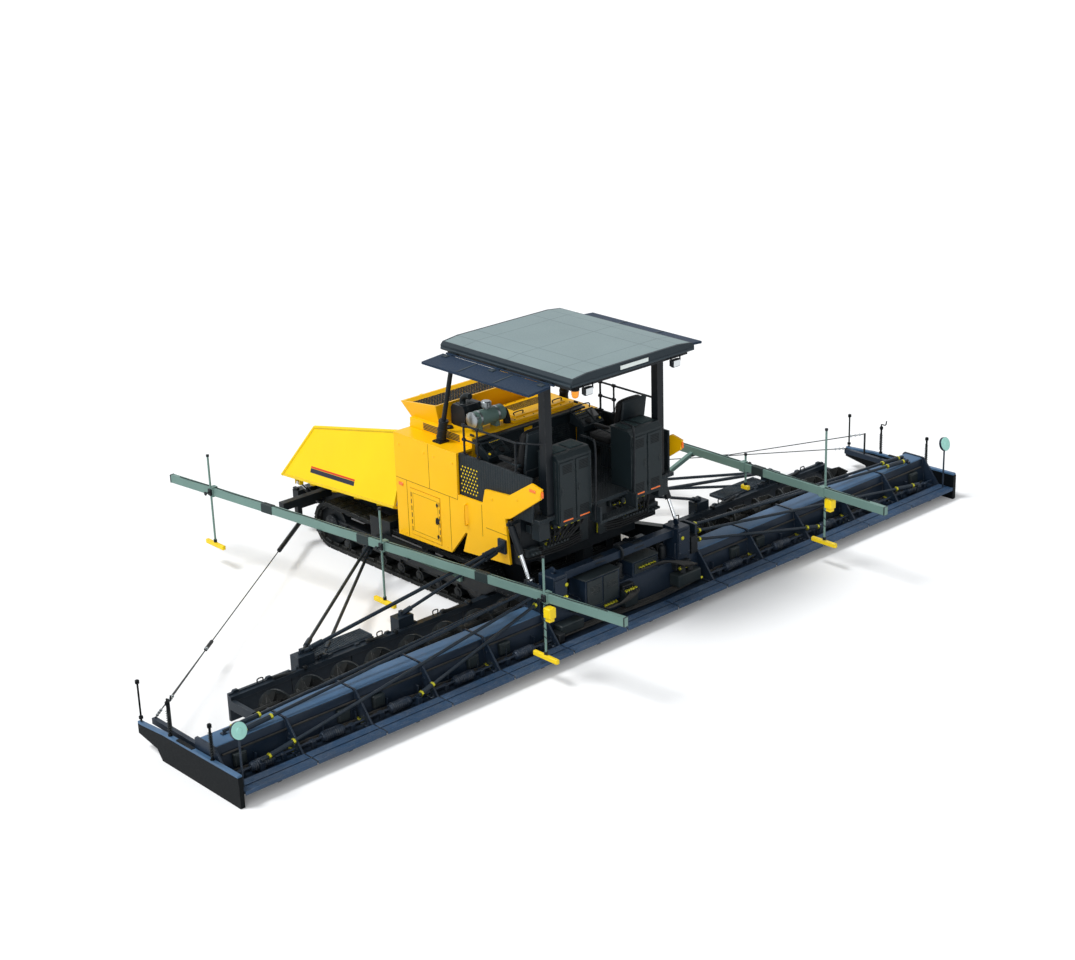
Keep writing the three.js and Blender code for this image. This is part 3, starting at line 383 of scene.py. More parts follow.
class Graph:
    """A short way to write shader nodes."""

    def __init__(self, tree: Tree) -> None:
        """Works on one node tree."""
        self.tree = tree

    def node(self, kind: str, inputs: dict[str | int, Any] | None = None, **settings: Any) -> bpy.types.Node:
        """Adds a node.

        Args:
            kind: the node's type name, without its ShaderNode prefix.
            inputs: values or other nodes' outputs, by socket name or number.
            settings: the node's own settings.

        Returns:
            The new node.
        """
        made = self.tree.nodes.new("ShaderNode" + kind)
        for key, value in settings.items():
            setattr(made, key, value)
        for key, value in (inputs or {}).items():
            if isinstance(value, Socket):
                self.tree.links.new(value, made.inputs[key])
            else:
                made.inputs[key].default_value = value
        return made

    def maths(self, operation: str, *values: Any) -> Socket:
        """The result of a Math node on up to three values."""
        return self.node("Math", dict(enumerate(values)), operation=operation).outputs[0]

    def times(self, first: Any, second: Any) -> Socket:
        """The product of two values."""
        return self.maths("MULTIPLY", first, second)

    def parts(self, vector: Any) -> Any:
        """A vector's x, y and z."""
        return self.node("SeparateXYZ", {0: vector}).outputs

    def group(self, name: str, **inputs: float) -> Any:
        """The outputs of a shared effect, placed with its own values."""
        return self.node("Group", inputs, node_tree=Effects.get(name)).outputs

    def blend(self, factor: Any, first: Any, second: Any, mode: str = "MIX") -> Socket:
        """Two colours mixed by a factor."""
        inputs = {0: factor, 6: first, 7: second}
        return self.node("Mix", inputs, data_type="RGBA", blend_type=mode).outputs[2]

    def between(self, value: Any, low: float, high: float, to_low: float = 0, to_high: float = 1) -> Socket:
        """A value carried from one range to another and held at its ends."""
        inputs = {0: value, 1: low, 2: high, 3: to_low, 4: to_high}
        return self.node("MapRange", inputs).outputs[0]

    def noise(self, place: Any, scale: float, detail: float = 4.0, rough: float = 0.6) -> Socket:
        """The value of a noise at a place."""
        return self.node("TexNoise", {"Vector": place, "Scale": scale, "Detail": detail, "Roughness": rough}).outputs[0]


GroupParts = tuple[Tree, Graph, Any, Any]


def new_group(name: str, inputs: dict[str, float], outputs: dict[str, str]) -> GroupParts:
    """Starts a shader group.

    Args:
        name: the group's name.
        inputs: each input's name and first value.
        outputs: each output's name and socket type.

    Returns:
        The tree, its graph, and the outputs of its input node and inputs of its output node.
    """
    tree = bpy.data.node_groups.new(name, "ShaderNodeTree")
    for key, value in inputs.items():
        socket = tree.interface.new_socket(name=key, in_out="INPUT", socket_type="NodeSocketFloat")
        socket.default_value = value
    for key, kind in outputs.items():
        tree.interface.new_socket(name=key, in_out="OUTPUT", socket_type=kind)
    graph = Graph(tree)
    entry = tree.nodes.new("NodeGroupInput").outputs
    leave = tree.nodes.new("NodeGroupOutput").inputs
    return tree, graph, entry, leave


class Effects:
    """The shader groups that more than one finish uses, each made once."""

    _made: dict[str, Tree] = {}

    @classmethod
    def get(cls, name: str) -> Tree:
        """The group with a name, made on first use."""
        if name not in cls._made:
            cls._made[name] = getattr(cls, "_" + name)()
        return cls._made[name]

    @staticmethod
    def _edges() -> Tree:
        """Rounds edges in the shading and masks them where paint rubs through."""
        tree, graph, entry, leave = new_group(
            "worn_edges", {"Radius": 0.012, "Amount": 0.5}, {"Mask": "NodeSocketFloat", "Normal": "NodeSocketVector"})
        place = graph.node("TexCoord").outputs["Object"]
        rounded = graph.node("Bevel", {"Radius": entry["Radius"]}, samples=4).outputs[0]
        flat = graph.node("NewGeometry").outputs["Normal"]
        turn = graph.node("VectorMath", {0: rounded, 1: flat}, operation="DOT_PRODUCT").outputs["Value"]
        edge = graph.between(turn, 0.985, 0.86)
        patches = graph.between(graph.noise(place, 9.0, 5.0, 0.7), 0.42, 0.62)
        tree.links.new(graph.times(graph.times(edge, patches), entry["Amount"]), leave["Mask"])
        tree.links.new(rounded, leave["Normal"])
        return tree

    @staticmethod
    def _dust() -> Tree:
        """Masks road dust: thick near the ground and on upward faces, broken up by two sizes of cloud."""
        tree, graph, entry, leave = new_group(
            "road_dust", {"Height": 1.0, "Amount": 0.4, "Settled": 0.3}, {"Mask": "NodeSocketFloat"})
        place = graph.node("TexCoord").outputs["Object"]
        height = graph.parts(place)[2]
        low = graph.maths("SUBTRACT", 1.0, graph.maths("DIVIDE", height, entry["Height"]))
        low = graph.node("Clamp", {0: low}).outputs[0]
        up = graph.parts(graph.node("NewGeometry").outputs["Normal"])[2]
        settled = graph.times(graph.between(up, 0.5, 1.0), entry["Settled"])
        cloud = graph.between(graph.noise(place, 1.7, 6.0, 0.65), 0.35, 0.7)
        fine = graph.between(graph.noise(place, 23.0, 4.0, 0.7), 0.3, 0.75, 0.5, 1.0)
        both = graph.times(graph.maths("ADD", low, settled), graph.times(cloud, fine))
        tree.links.new(graph.times(both, entry["Amount"]), leave["Mask"])
        return tree

    @staticmethod
    def _mottle() -> Tree:
        """A value that wanders about one half, for uneven colour and gloss."""
        tree, graph, entry, leave = new_group(
            "mottle", {"Scale": 2.0}, {"Value": "NodeSocketFloat", "Fine": "NodeSocketFloat"})
        place = graph.node("TexCoord").outputs["Object"]
        wide = graph.node("TexNoise", {"Vector": place, "Scale": entry["Scale"], "Detail": 5.0}).outputs[0]
        close = graph.times(entry["Scale"], 40.0)
        fine = graph.node("TexNoise", {"Vector": place, "Scale": close, "Detail": 3.0}).outputs[0]
        tree.links.new(wide, leave["Value"])
        tree.links.new(fine, leave["Fine"])
        return tree


class Pattern(Enum):
    """What a finish has pressed or cast into it."""

    PLAIN = "plain"
    TREAD = "tread"
    CAST = "cast"
    VINYL = "vinyl"


@dataclass(frozen=True)
class Finish:
    """A painted, cast or moulded surface, with its wear and its dirt."""

    name: str
    colour: str
    slot: str = "black_paint"
    rough: float = 0.45
    metal: float = 0.0
    coat: float = 0.0
    specular: float = 0.2
    wear: float = 0.0
    wear_colour: str = "8A8C8C"
    wear_metal: float = 0.6
    dust: float = 0.1
    dust_height: float = 1.0
    settled: float = 0.25
    dust_colour: str = "9A9488"
    vary: float = 0.12
    scale: float = 1.6
    grain: float = 0.15
    grain_scale: float = 60.0
    edge: float = 0.008
    glow: float = 0.0
    pattern: Pattern = Pattern.PLAIN

    def material(self) -> Material:
        """The finish as a material, made on first use."""
        return bpy.data.materials.get(f"look_{self.name}") or self._build()

    def _build(self) -> Material:
        """Builds the material's nodes."""
        made = bpy.data.materials.new(f"look_{self.name}")
        made.use_nodes = True
        made.node_tree.nodes.clear()
        graph = Graph(made.node_tree)
        place = graph.node("TexCoord").outputs["Object"]
        mottle = graph.group("mottle", Scale=self.scale)
        edges = graph.group("edges", Radius=self.edge, Amount=self.wear)
        dust = graph.group("dust", Height=self.dust_height, Amount=self.dust, Settled=self.settled)
        shade = graph.between(mottle["Value"], 0.3, 0.7, 1.0 - self.vary, 1.0 + self.vary * 0.6)
        base = graph.node("HueSaturation", {"Color": self.base(graph, place), "Value": shade}).outputs[0]
        base = graph.blend(edges["Mask"], base, linear(self.wear_colour))
        base = graph.blend(dust["Mask"], base, linear(self.dust_colour))
        gloss = graph.between(mottle["Fine"], 0.3, 0.7, self.rough * 0.85, min(1.0, self.rough * 1.2))
        gloss = graph.maths("ADD", gloss, graph.times(dust["Mask"], 0.45))
        metal = graph.maths("MAXIMUM", graph.times(edges["Mask"], self.wear_metal), self.metal)
        metal = graph.times(metal, graph.maths("SUBTRACT", 1.0, dust["Mask"]))
        bump = {
            "Strength": self.grain, "Distance": 0.004, "Height": self.relief(graph, place), "Normal": edges["Normal"]}
        inputs = {
            "Base Color": base, "Roughness": gloss, "Metallic": metal, "Coat Weight": self.coat, "Coat Roughness": 0.15,
            "Specular IOR Level": self.specular, "Normal": graph.node("Bump", bump).outputs[0]}
        # An emission glow: the beacon's own light as a lamp, and painted light on the orange reflectors, which are no
        # lamps.
        if self.glow:
            inputs |= {"Emission Color": linear(self.colour), "Emission Strength": self.glow}
        shader = graph.node("BsdfPrincipled", inputs)
        graph.node("OutputMaterial", {"Surface": shader.outputs[0]})
        return made

    def base(self, graph: Graph, place: Socket) -> Any:
        """The colour before wear and dirt."""
        return linear(self.colour)

    def relief(self, graph: Graph, place: Socket) -> Socket:
        """The height that the bump follows.

        A tread plate has two families of short raised bars, a cast face has coarse lumps,
        vinyl has small closed cells, and paint has a fine even ripple.
        """
        fine = graph.noise(place, self.grain_scale, 3.0, 0.6)
        if self.pattern is Pattern.CAST:
            return graph.maths("ADD", fine, graph.noise(place, self.grain_scale * 0.2, 5.0, 0.7))
        if self.pattern is Pattern.VINYL:
            return graph.node("TexVoronoi", {"Vector": place, "Scale": self.grain_scale * 3.0}).outputs[0]
        if self.pattern is Pattern.TREAD:
            turned = graph.node("Mapping", {0: place, 2: (0.0, 0.0, math.radians(45)), 3: (1.0, 1.0, 1.0)}).outputs[0]
            waves = []
            for name in ("X", "Y"):
                wave = graph.node(
                    "TexWave", {"Vector": turned, "Scale": 9.0, "Distortion": 0.0}, bands_direction=name).outputs[1]
                waves.append(graph.between(wave, 0.6, 0.9))
            return graph.maths("ADD", fine, graph.maths("MAXIMUM", *waves))
        return fine


@dataclass(frozen=True)
class Striped(Finish):
    """Wing paint with a dark stripe that has a red upper edge, on the outer face only."""

    stripe_front: float = -3.05
    stripe_rear: float = -1.95
    stripe_low: float = 1.165
    stripe_high: float = 1.235
    stripe_rise: float = 0.055

    def base(self, graph: Graph, place: Socket) -> Any:
        """Lemon paint, then the stripe where height, less a share of the length, lies in its band."""
        spot = graph.parts(place)
        rise = graph.times(spot[1], self.stripe_rise)
        height = graph.maths("SUBTRACT", spot[2], rise)
        facing = graph.parts(graph.node("TexCoord").outputs["Normal"])[0]
        side = graph.between(graph.times(facing, spot[0]), 0.0, 0.1)
        ahead = graph.times(
            graph.between(spot[1], self.stripe_front, self.stripe_front + 0.004),
            graph.between(spot[1], self.stripe_rear, self.stripe_rear - 0.004))
        inside = graph.times(side, ahead)
        low = self.stripe_low - self.stripe_rise * self.stripe_front
        high = self.stripe_high - self.stripe_rise * self.stripe_front
        dark = graph.times(graph.between(height, low, low + 0.004), graph.between(height, high, high - 0.004))
        red = graph.times(graph.between(height, high, high + 0.004), graph.between(height, high + 0.03, high + 0.026))
        base = graph.blend(graph.times(dark, inside), linear(self.colour), linear("1E2233"))
        return graph.blend(graph.times(red, inside), base, linear("C62A1E"))


@dataclass(frozen=True)
class Roofing(Finish):
    """A moulded roof: pale on top, dark slate round its edges, with pressed crease lines drawn as darker lines of
    painted shade.
    """

    edge_colour: str = "1F2A31"
    crease_shade_colour: str = "66767A"
    rim_side: float = 1.095
    rim_front: float = 0.03
    rim_rear: float = 2.58
    side_creases: tuple[float, ...] = (0.86, 0.52)
    cross_creases: tuple[float, ...] = (0.42, 1.31, 2.2)

    def base(self, graph: Graph, place: Socket) -> Any:
        """Pale where the face looks up and lies inside the rim, then darker lines of painted shade for the creases
        where x or y meets a line.
        """
        spot = graph.parts(place)
        aside = graph.maths("ABSOLUTE", spot[0])
        up = graph.parts(graph.node("NewGeometry").outputs["Normal"])[2]
        inside = graph.times(graph.between(aside, self.rim_side + 0.005, self.rim_side), graph.between(up, 0.3, 0.5))
        inside = graph.times(inside, graph.between(spot[1], self.rim_front, self.rim_front + 0.005))
        inside = graph.times(inside, graph.between(spot[1], self.rim_rear + 0.005, self.rim_rear))
        base = graph.blend(inside, linear(self.edge_colour), linear(self.colour))
        lines = [(aside, x) for x in self.side_creases] + [(spot[1], y) for y in self.cross_creases]
        # Each crease is painted as a darker line, the shade inside the crease, and is not pressed into the shape.
        for value, where in lines:
            off = graph.maths("ABSOLUTE", graph.maths("SUBTRACT", value, where))
            line = graph.times(graph.between(off, 0.01, 0.004), inside)
            base = graph.blend(line, base, linear(self.crease_shade_colour))
        return base


@dataclass(frozen=True)
class Footed(Finish):
    """Beam paint that turns to the feet's yellow near the ground."""

    foot_colour: str = "F2CF1D"
    foot_height: float = 0.4

    def base(self, graph: Graph, place: Socket) -> Any:
        """The feet's colour below a height, and the beam's own above it."""
        height = graph.parts(place)[2]
        low = graph.between(height, self.foot_height + 0.002, self.foot_height)
        return graph.blend(low, linear(self.colour), linear(self.foot_colour))


class Palette:
    """Every finish on the machine."""

    BODY = Finish(
        "golden_yellow", "F8BC02", slot="body_yellow", rough=0.4, coat=0.05, wear=0.3, dust=0.06, dust_height=1.6,
        settled=0.1, vary=0.04)
    WING = Striped(
        "lemon_yellow", "EAC60C", rough=0.42, coat=0.04, wear=0.4, dust=0.06, dust_height=1.3, settled=0.1, vary=0.04)
    CHARCOAL = Finish(
        "charcoal_paint", "1D262B", slot="charcoal_paint", wear=0.4, dust=0.12, dust_height=2.0, settled=0.15)
    BLACK = Finish("black_paint", "10161B", rough=0.42, wear=0.35, dust=0.08, settled=0.1)
    STRUT = Finish(
        "strut_blue_black", "18242F", rough=0.4, metal=0.2, wear=0.4, dust=0.08, dust_height=0.8, settled=0.1)
    TREAD = Finish(
        "tread_plate", "232B30", slot="charcoal_paint", rough=0.5, metal=0.3, wear=0.5, dust=0.2, grain=0.8,
        pattern=Pattern.TREAD)
    SCREED = Finish(
        "screed_blue_steel", "182636", slot="screed_blue", rough=0.36, metal=0.2, wear=0.45, dust=0.08, dust_height=0.8,
        settled=0.1, vary=0.22)
    # A lighter copy of the screed blue: painted light on the tops of the screed's strips, the centre's end plates and
    # the gate rails.
    STRIP = Finish("blue_strip_painted_light", "436485", slot="screed_blue", rough=0.38, metal=0.15, wear=0.35, vary=0.25)
    TRACK = Finish(
        "track_steel", "14181A", slot="track_steel", rough=0.6, metal=0.5, wear=0.7, dust=0.12, settled=0.1, grain=0.5,
        pattern=Pattern.CAST)
    RUBBER = Finish("black_rubber", "101214", rough=0.75, dust=0.15, grain=0.3)
    BEAM = Footed("beam_grey", "6D8A83", rough=0.42, metal=0.2, wear=0.25, dust=0.06, vary=0.08)
    ROOF = Roofing("roof_grey", "7C8D8F", rough=0.5, wear=0.1, dust=0.06, settled=0.2, vary=0.05, grain_scale=90)
    FLAP = Finish("flap_blue_grey", "1A2C40", rough=0.5, specular=0.12, wear=0.3, dust=0.03, settled=0.0)
    CHROME = Finish("polished_rod", "C8CCD0", rough=0.12, metal=1.0, dust=0.05, vary=0.03, grain=0.02)
    STEEL = Finish("bright_steel", "9CA3A6", slot="filter_green", rough=0.3, metal=0.9, wear=0.2, dust=0.15)
    VINYL = Finish(
        "seat_vinyl", "0D0F11", slot="seat_black", rough=0.6, specular=0.25, dust=0.04, grain=0.35,
        pattern=Pattern.VINYL)
    FILTER = Finish("filter_green", "66807A", rough=0.42, wear=0.3, dust=0.2)
    SENSOR = Finish("sensor_yellow", "F4D21E", slot="beam_grey", rough=0.4, wear=0.2)
    TEAL = Finish("teal_pad", "2A3D40", slot="charcoal_paint", rough=0.6, wear=0.1)
    # The orange reflectors are no lamps: their glow is painted light.
    ORANGE = Finish("orange_lens", "F2701A", slot="body_yellow", rough=0.15, coat=0.6, dust=0.05, glow=0.1)
    AMBER = Finish("amber_beacon", "F59A1B", slot="body_yellow", rough=0.12, coat=0.7, dust=0.02, glow=0.15)
    LAMP = Finish("lamp_glass", "E9EEF0", slot="chrome_rod", rough=0.08, coat=0.8, dust=0.05)
    WHITE = Finish("white_disc", "E8F1EE", slot="roof_grey", wear=0.1)
    CABINET = Finish(
        "cabinet_grey", "1A2428", slot="charcoal_paint", rough=0.42, wear=0.3, dust=0.08, dust_height=2.0, settled=0.1)
    WING_PLAIN = Finish(
        "lemon_paint", "EECB0C", slot="hopper_yellow", rough=0.42, coat=0.04, wear=0.4, dust=0.08, dust_height=1.3,
        vary=0.05)
    SCUFFED = Finish(
        "scuffed_plate", "565A5B", slot="hopper_yellow", rough=0.42, metal=0.7, wear=0.3, dust=0.12, vary=0.25,
        grain=0.3)
    STEEL_DARK = Finish(
        "dark_steel", "23292C", slot="track_steel", metal=0.7, wear=0.5, settled=0.1, vary=0.2, grain=0.25)
    GATE = Finish(
        "gate_black", "0B0F12", slot="screed_blue", specular=0.06, wear=0.3, dust=0.01, dust_height=0.2, vary=0.04)
    SEAM = Finish("seam_shadow", "8A6A0C", rough=0.6, vary=0.05)
    # A lighter copy of the screed blue: painted light on the walkway boards' tops.
    BOARD_PAINTED_LIGHT = Finish(
        "walkway_blue_painted_light", "2A4562", slot="screed_blue", metal=0.15, wear=0.4, vary=0.3, grain=0.4, pattern=Pattern.TREAD)
    BEAM_JOINT = Finish("beam_joint", "2B3637", slot="beam_grey", metal=0.3, wear=0.3)
    GRATING = Finish("grating_grey", "35424D", metal=0.5, wear=0.4, dust=0.15)
    DISC = Finish("guide_disc", "9FD6CB", slot="screed_blue", wear=0.1, dust=0.06)
    SLATE = Finish("slate_trim", "2B363D", slot="charcoal_paint", wear=0.1, dust=0.06)
    GLASS = Finish("dark_glass", "0E1416", rough=0.08, coat=0.8, dust=0.05, vary=0.02, grain=0.02)
    FITTING = Finish("yellow_zinc", "B9B52E", slot="chrome_rod", rough=0.3, metal=0.75, wear=0.2, vary=0.15)
    HOSE = Finish("hydraulic_hose", "1B1D1F", rough=0.55, dust=0.25, grain=0.25, grain_scale=140)


# ---- carried-over pieces


class PackedPieces:
    """Dresses the machine's own solids, which keep their shape."""

    NODES: tuple[tuple[Finish, str], ...] = (
        (Palette.TRACK, "track auger hopper_floor"),
        (Palette.BLACK, "track_frame wing_barrel lift_barrel tow_arm rope tractor_frame engine_block "
                       "muffler canopy_frame push_beam"),
        (Palette.STRUT, "tunnel stays"),
        (Palette.CHARCOAL, "push_roller console"),
        (Palette.CABINET, "cabinet"),
        (Palette.FLAP, "roof_flap"),
        (Palette.TREAD, "operator_deck"),
        (Palette.BODY, "side_panel side_door hopper_rear_wall front_cowl engine_hood"),
        (Palette.WING, "hopper_wing"),
        (Palette.CHROME, "wing_rod lift_rod"),
        (Palette.SCREED, "screed centre_screed"),
        (Palette.GATE, "end_gate"),
        (Palette.BEAM, "averaging_beam"),
        (Palette.ROOF, "canopy_roof"),
        (Palette.VINYL, "seat"),
        (Palette.FILTER, "air_cleaner"),
    )
    WELD_GAP = 0.00002
    SPLIT_ANGLE = 32

    def dress(self, nodes: dict[str, Object]) -> None:
        """Gives every solid its finish, and smooths its round faces with a weld and an edge split."""
        finishes = {word: finish for finish, words in self.NODES for word in words.split()}
        for name, obj in nodes.items():
            finish = finishes[name.removeprefix("left_").removeprefix("right_")]
            obj.data.materials.clear()
            obj.data.materials.append(finish.material())
            obj.data.polygons.foreach_set("use_smooth", np.ones(len(obj.data.polygons), bool))
            weld = obj.modifiers.new("weld", "WELD")
            weld.merge_threshold = self.WELD_GAP
            split = obj.modifiers.new("split", "EDGE_SPLIT")
            split.split_angle = math.radians(self.SPLIT_ANGLE)
        log.info("dressed %d packed pieces", len(nodes))


# ---- sub-assemblies


@dataclass
class SubAssembly:
    """Pieces that are made together and ride on the machine's bodies."""

    body: ClassVar[str] = "tractor"
    shop: Workshop
    shape: Shape = field(init=False, repr=False)

    def one(
        self, name: str, make: Maker, finish: Finish, crease: float = CREASE, body: str = "", slot: str = ""
    ) -> Object:
        """Makes one piece.

        Args:
            name: the piece's name.
            make: the method that draws its surfaces on self.shape.
            finish: what it is made of.
            crease: the angle in degrees past which an edge stays sharp.
            body: the body that it rides on, where it isn't the sub-assembly's own.
            slot: the record's slot, where it isn't the finish's own.

        Returns:
            The new object.
        """
        self.shape = Shape()
        make()
        return self.shop.piece(name, self.shape, finish, body or self.body, slot or finish.slot, crease)

    def both(
        self, name: str, make: Maker, finish: Finish, crease: float = CREASE, body: str = "", slot: str = ""
    ) -> None:
        """Makes a piece on the machine's left and its mirror image on the right.

        Args:
            name: the pieces' name without its side.
            make: the method that draws the left piece's surfaces on self.shape.
            finish: what both are made of.
            crease: the angle in degrees past which an edge stays sharp.
            body: the body each rides on, with {} where the side's word goes.
            slot: the record's slot, where it isn't the finish's own.
        """
        self.shape = Shape()
        make()
        body, slot = body or self.body, slot or finish.slot
        for word, sign in SIDES:
            drawn = self.shape if sign > 0 else self.shape.mirrored()
            self.shop.piece(f"{word}_{name}", drawn, finish, body.format(word), slot, crease)


@dataclass
class RunningGear(SubAssembly):
    """Shoe bolts, link plates, hub caps and frame ribs of the two tracks."""

    shoes: int = 42
    bolt_places: tuple[float, ...] = (0.045, 0.115, 0.225, 0.295)
    roller_count: int = 7

    def build(self) -> None:
        """Makes the fittings of both tracks."""
        low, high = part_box("left_track")
        self.inner, self.front, self.rear, self.wheel = low[0], low[1], high[1], high[2] / 2
        self.both("shoe_bolts", self._bolts, Palette.STEEL_DARK)
        self.both("link_plates", self._links, Palette.TRACK)
        self.both("hub_caps", self._hubs, Palette.BLACK, 30)
        self.both("track_frame_ribs", self._ribs, Palette.BLACK)

    def _around(self, share: Array, radius: float) -> tuple[Array, Array]:
        """Points of the loop and their outward directions: two straights joined by two half circles.

        Args:
            share: how far round each point is, from 0 to 1.
            radius: the half circles' radius.

        Returns:
            The (y, z) of each point, and the (y, z) of its outward direction.
        """
        straight = self.rear - self.front - 2 * self.wheel
        arc = math.pi * self.wheel
        s = (share % 1.0) * 2 * (straight + arc)
        turn = np.where(
            s < straight + arc, np.clip((s - straight) / self.wheel, 0, math.pi),
            math.pi + np.clip((s - 2 * straight - arc) / self.wheel, 0, math.pi))
        outward = np.stack([np.sin(turn), -np.cos(turn)], -1)
        run = np.where(
            s < straight, s, np.where(s < straight + arc, straight, np.clip(2 * straight + arc - s, 0, straight)))
        middle = np.stack([self.front + self.wheel + run, np.full_like(s, self.wheel)], -1)
        return middle + outward * radius, outward

    def _bolts(self) -> None:
        """Eight bolt heads on every shoe that is off the ground."""
        points, outward = self._around((np.arange(self.shoes) + 0.47) / self.shoes, self.wheel)
        for (y, z), (oy, oz) in zip(points, outward):
            if oz > -0.3:
                spots = [
                    (self.inner + x, y - shift * oz, z + shift * oy) for x in self.bolt_places
                    for shift in (-0.022, 0.022)]
                self.shape.bolts(spots, (0, oy, oz), 0.011, 0.008)

    def _links(self) -> None:
        """Two rows of chain links inside the belt: flat plates, one to a shoe."""
        points, outward = self._around((np.arange(self.shoes) + 0.5) / self.shoes, self.wheel - 0.075)
        for (y, z), (oy, oz) in zip(points, outward):
            along = np.array([0.0, -oz, oy])
            middle = np.array([0.0, y, z])
            for x in (self.inner + 0.045, self.inner + 0.295):
                start = middle - along * 0.062 + [x, 0, 0]
                self.shape.bar(start, start + along * 0.124, 0.022, 0.05)

    def _hubs(self) -> None:
        """A stepped cap on each wheel and roller, with a ring of bolts on the two large wheels."""
        face = self.inner + 0.3
        wide = [(-0.05, 0.0), (-0.05, 0.15), (-0.01, 0.15), (0.0, 0.1), (0.018, 0.09), (0.022, 0.05), (0.022, 0.0)]
        for y in (self.front + self.wheel, self.rear - self.wheel):
            self.shape.turned((face, y, self.wheel), LEFT, wide, 28)
            angle = around(10)
            ring = np.stack(
                [np.full(10, face - 0.01), y + 0.125 * np.cos(angle), self.wheel + 0.125 * np.sin(angle)], -1)
            self.shape.bolts(ring, LEFT, 0.012, 0.01)
        length = self.rear - self.front - 2 * self.wheel
        small = [(-0.01, 0.0), (-0.01, 0.055), (0.012, 0.05), (0.018, 0.03), (0.018, 0.0)]
        for i in range(self.roller_count):
            y = self.front + self.wheel + (i + 0.9) * length / (self.roller_count + 0.8)
            self.shape.turned((self.inner + 0.29, y, 0.146), LEFT, small, 16)

    def _ribs(self) -> None:
        """Ribs and a run of bolts along the frame's outer face."""
        face = self.inner + 0.26
        for y in np.linspace(self.front + 0.75, self.rear - 0.75, 7):
            self.shape.block((face, y - 0.012, 0.235), (face + 0.05, y + 0.012, 0.45))
        self.shape.block((face, self.front + 0.55, 0.36), (face + 0.02, self.rear - 0.55, 0.42))
        spots = [(face + 0.02, y, 0.39) for y in np.linspace(self.front + 0.62, self.rear - 0.62, 22)]
        self.shape.bolts(spots, LEFT, 0.011, 0.009)


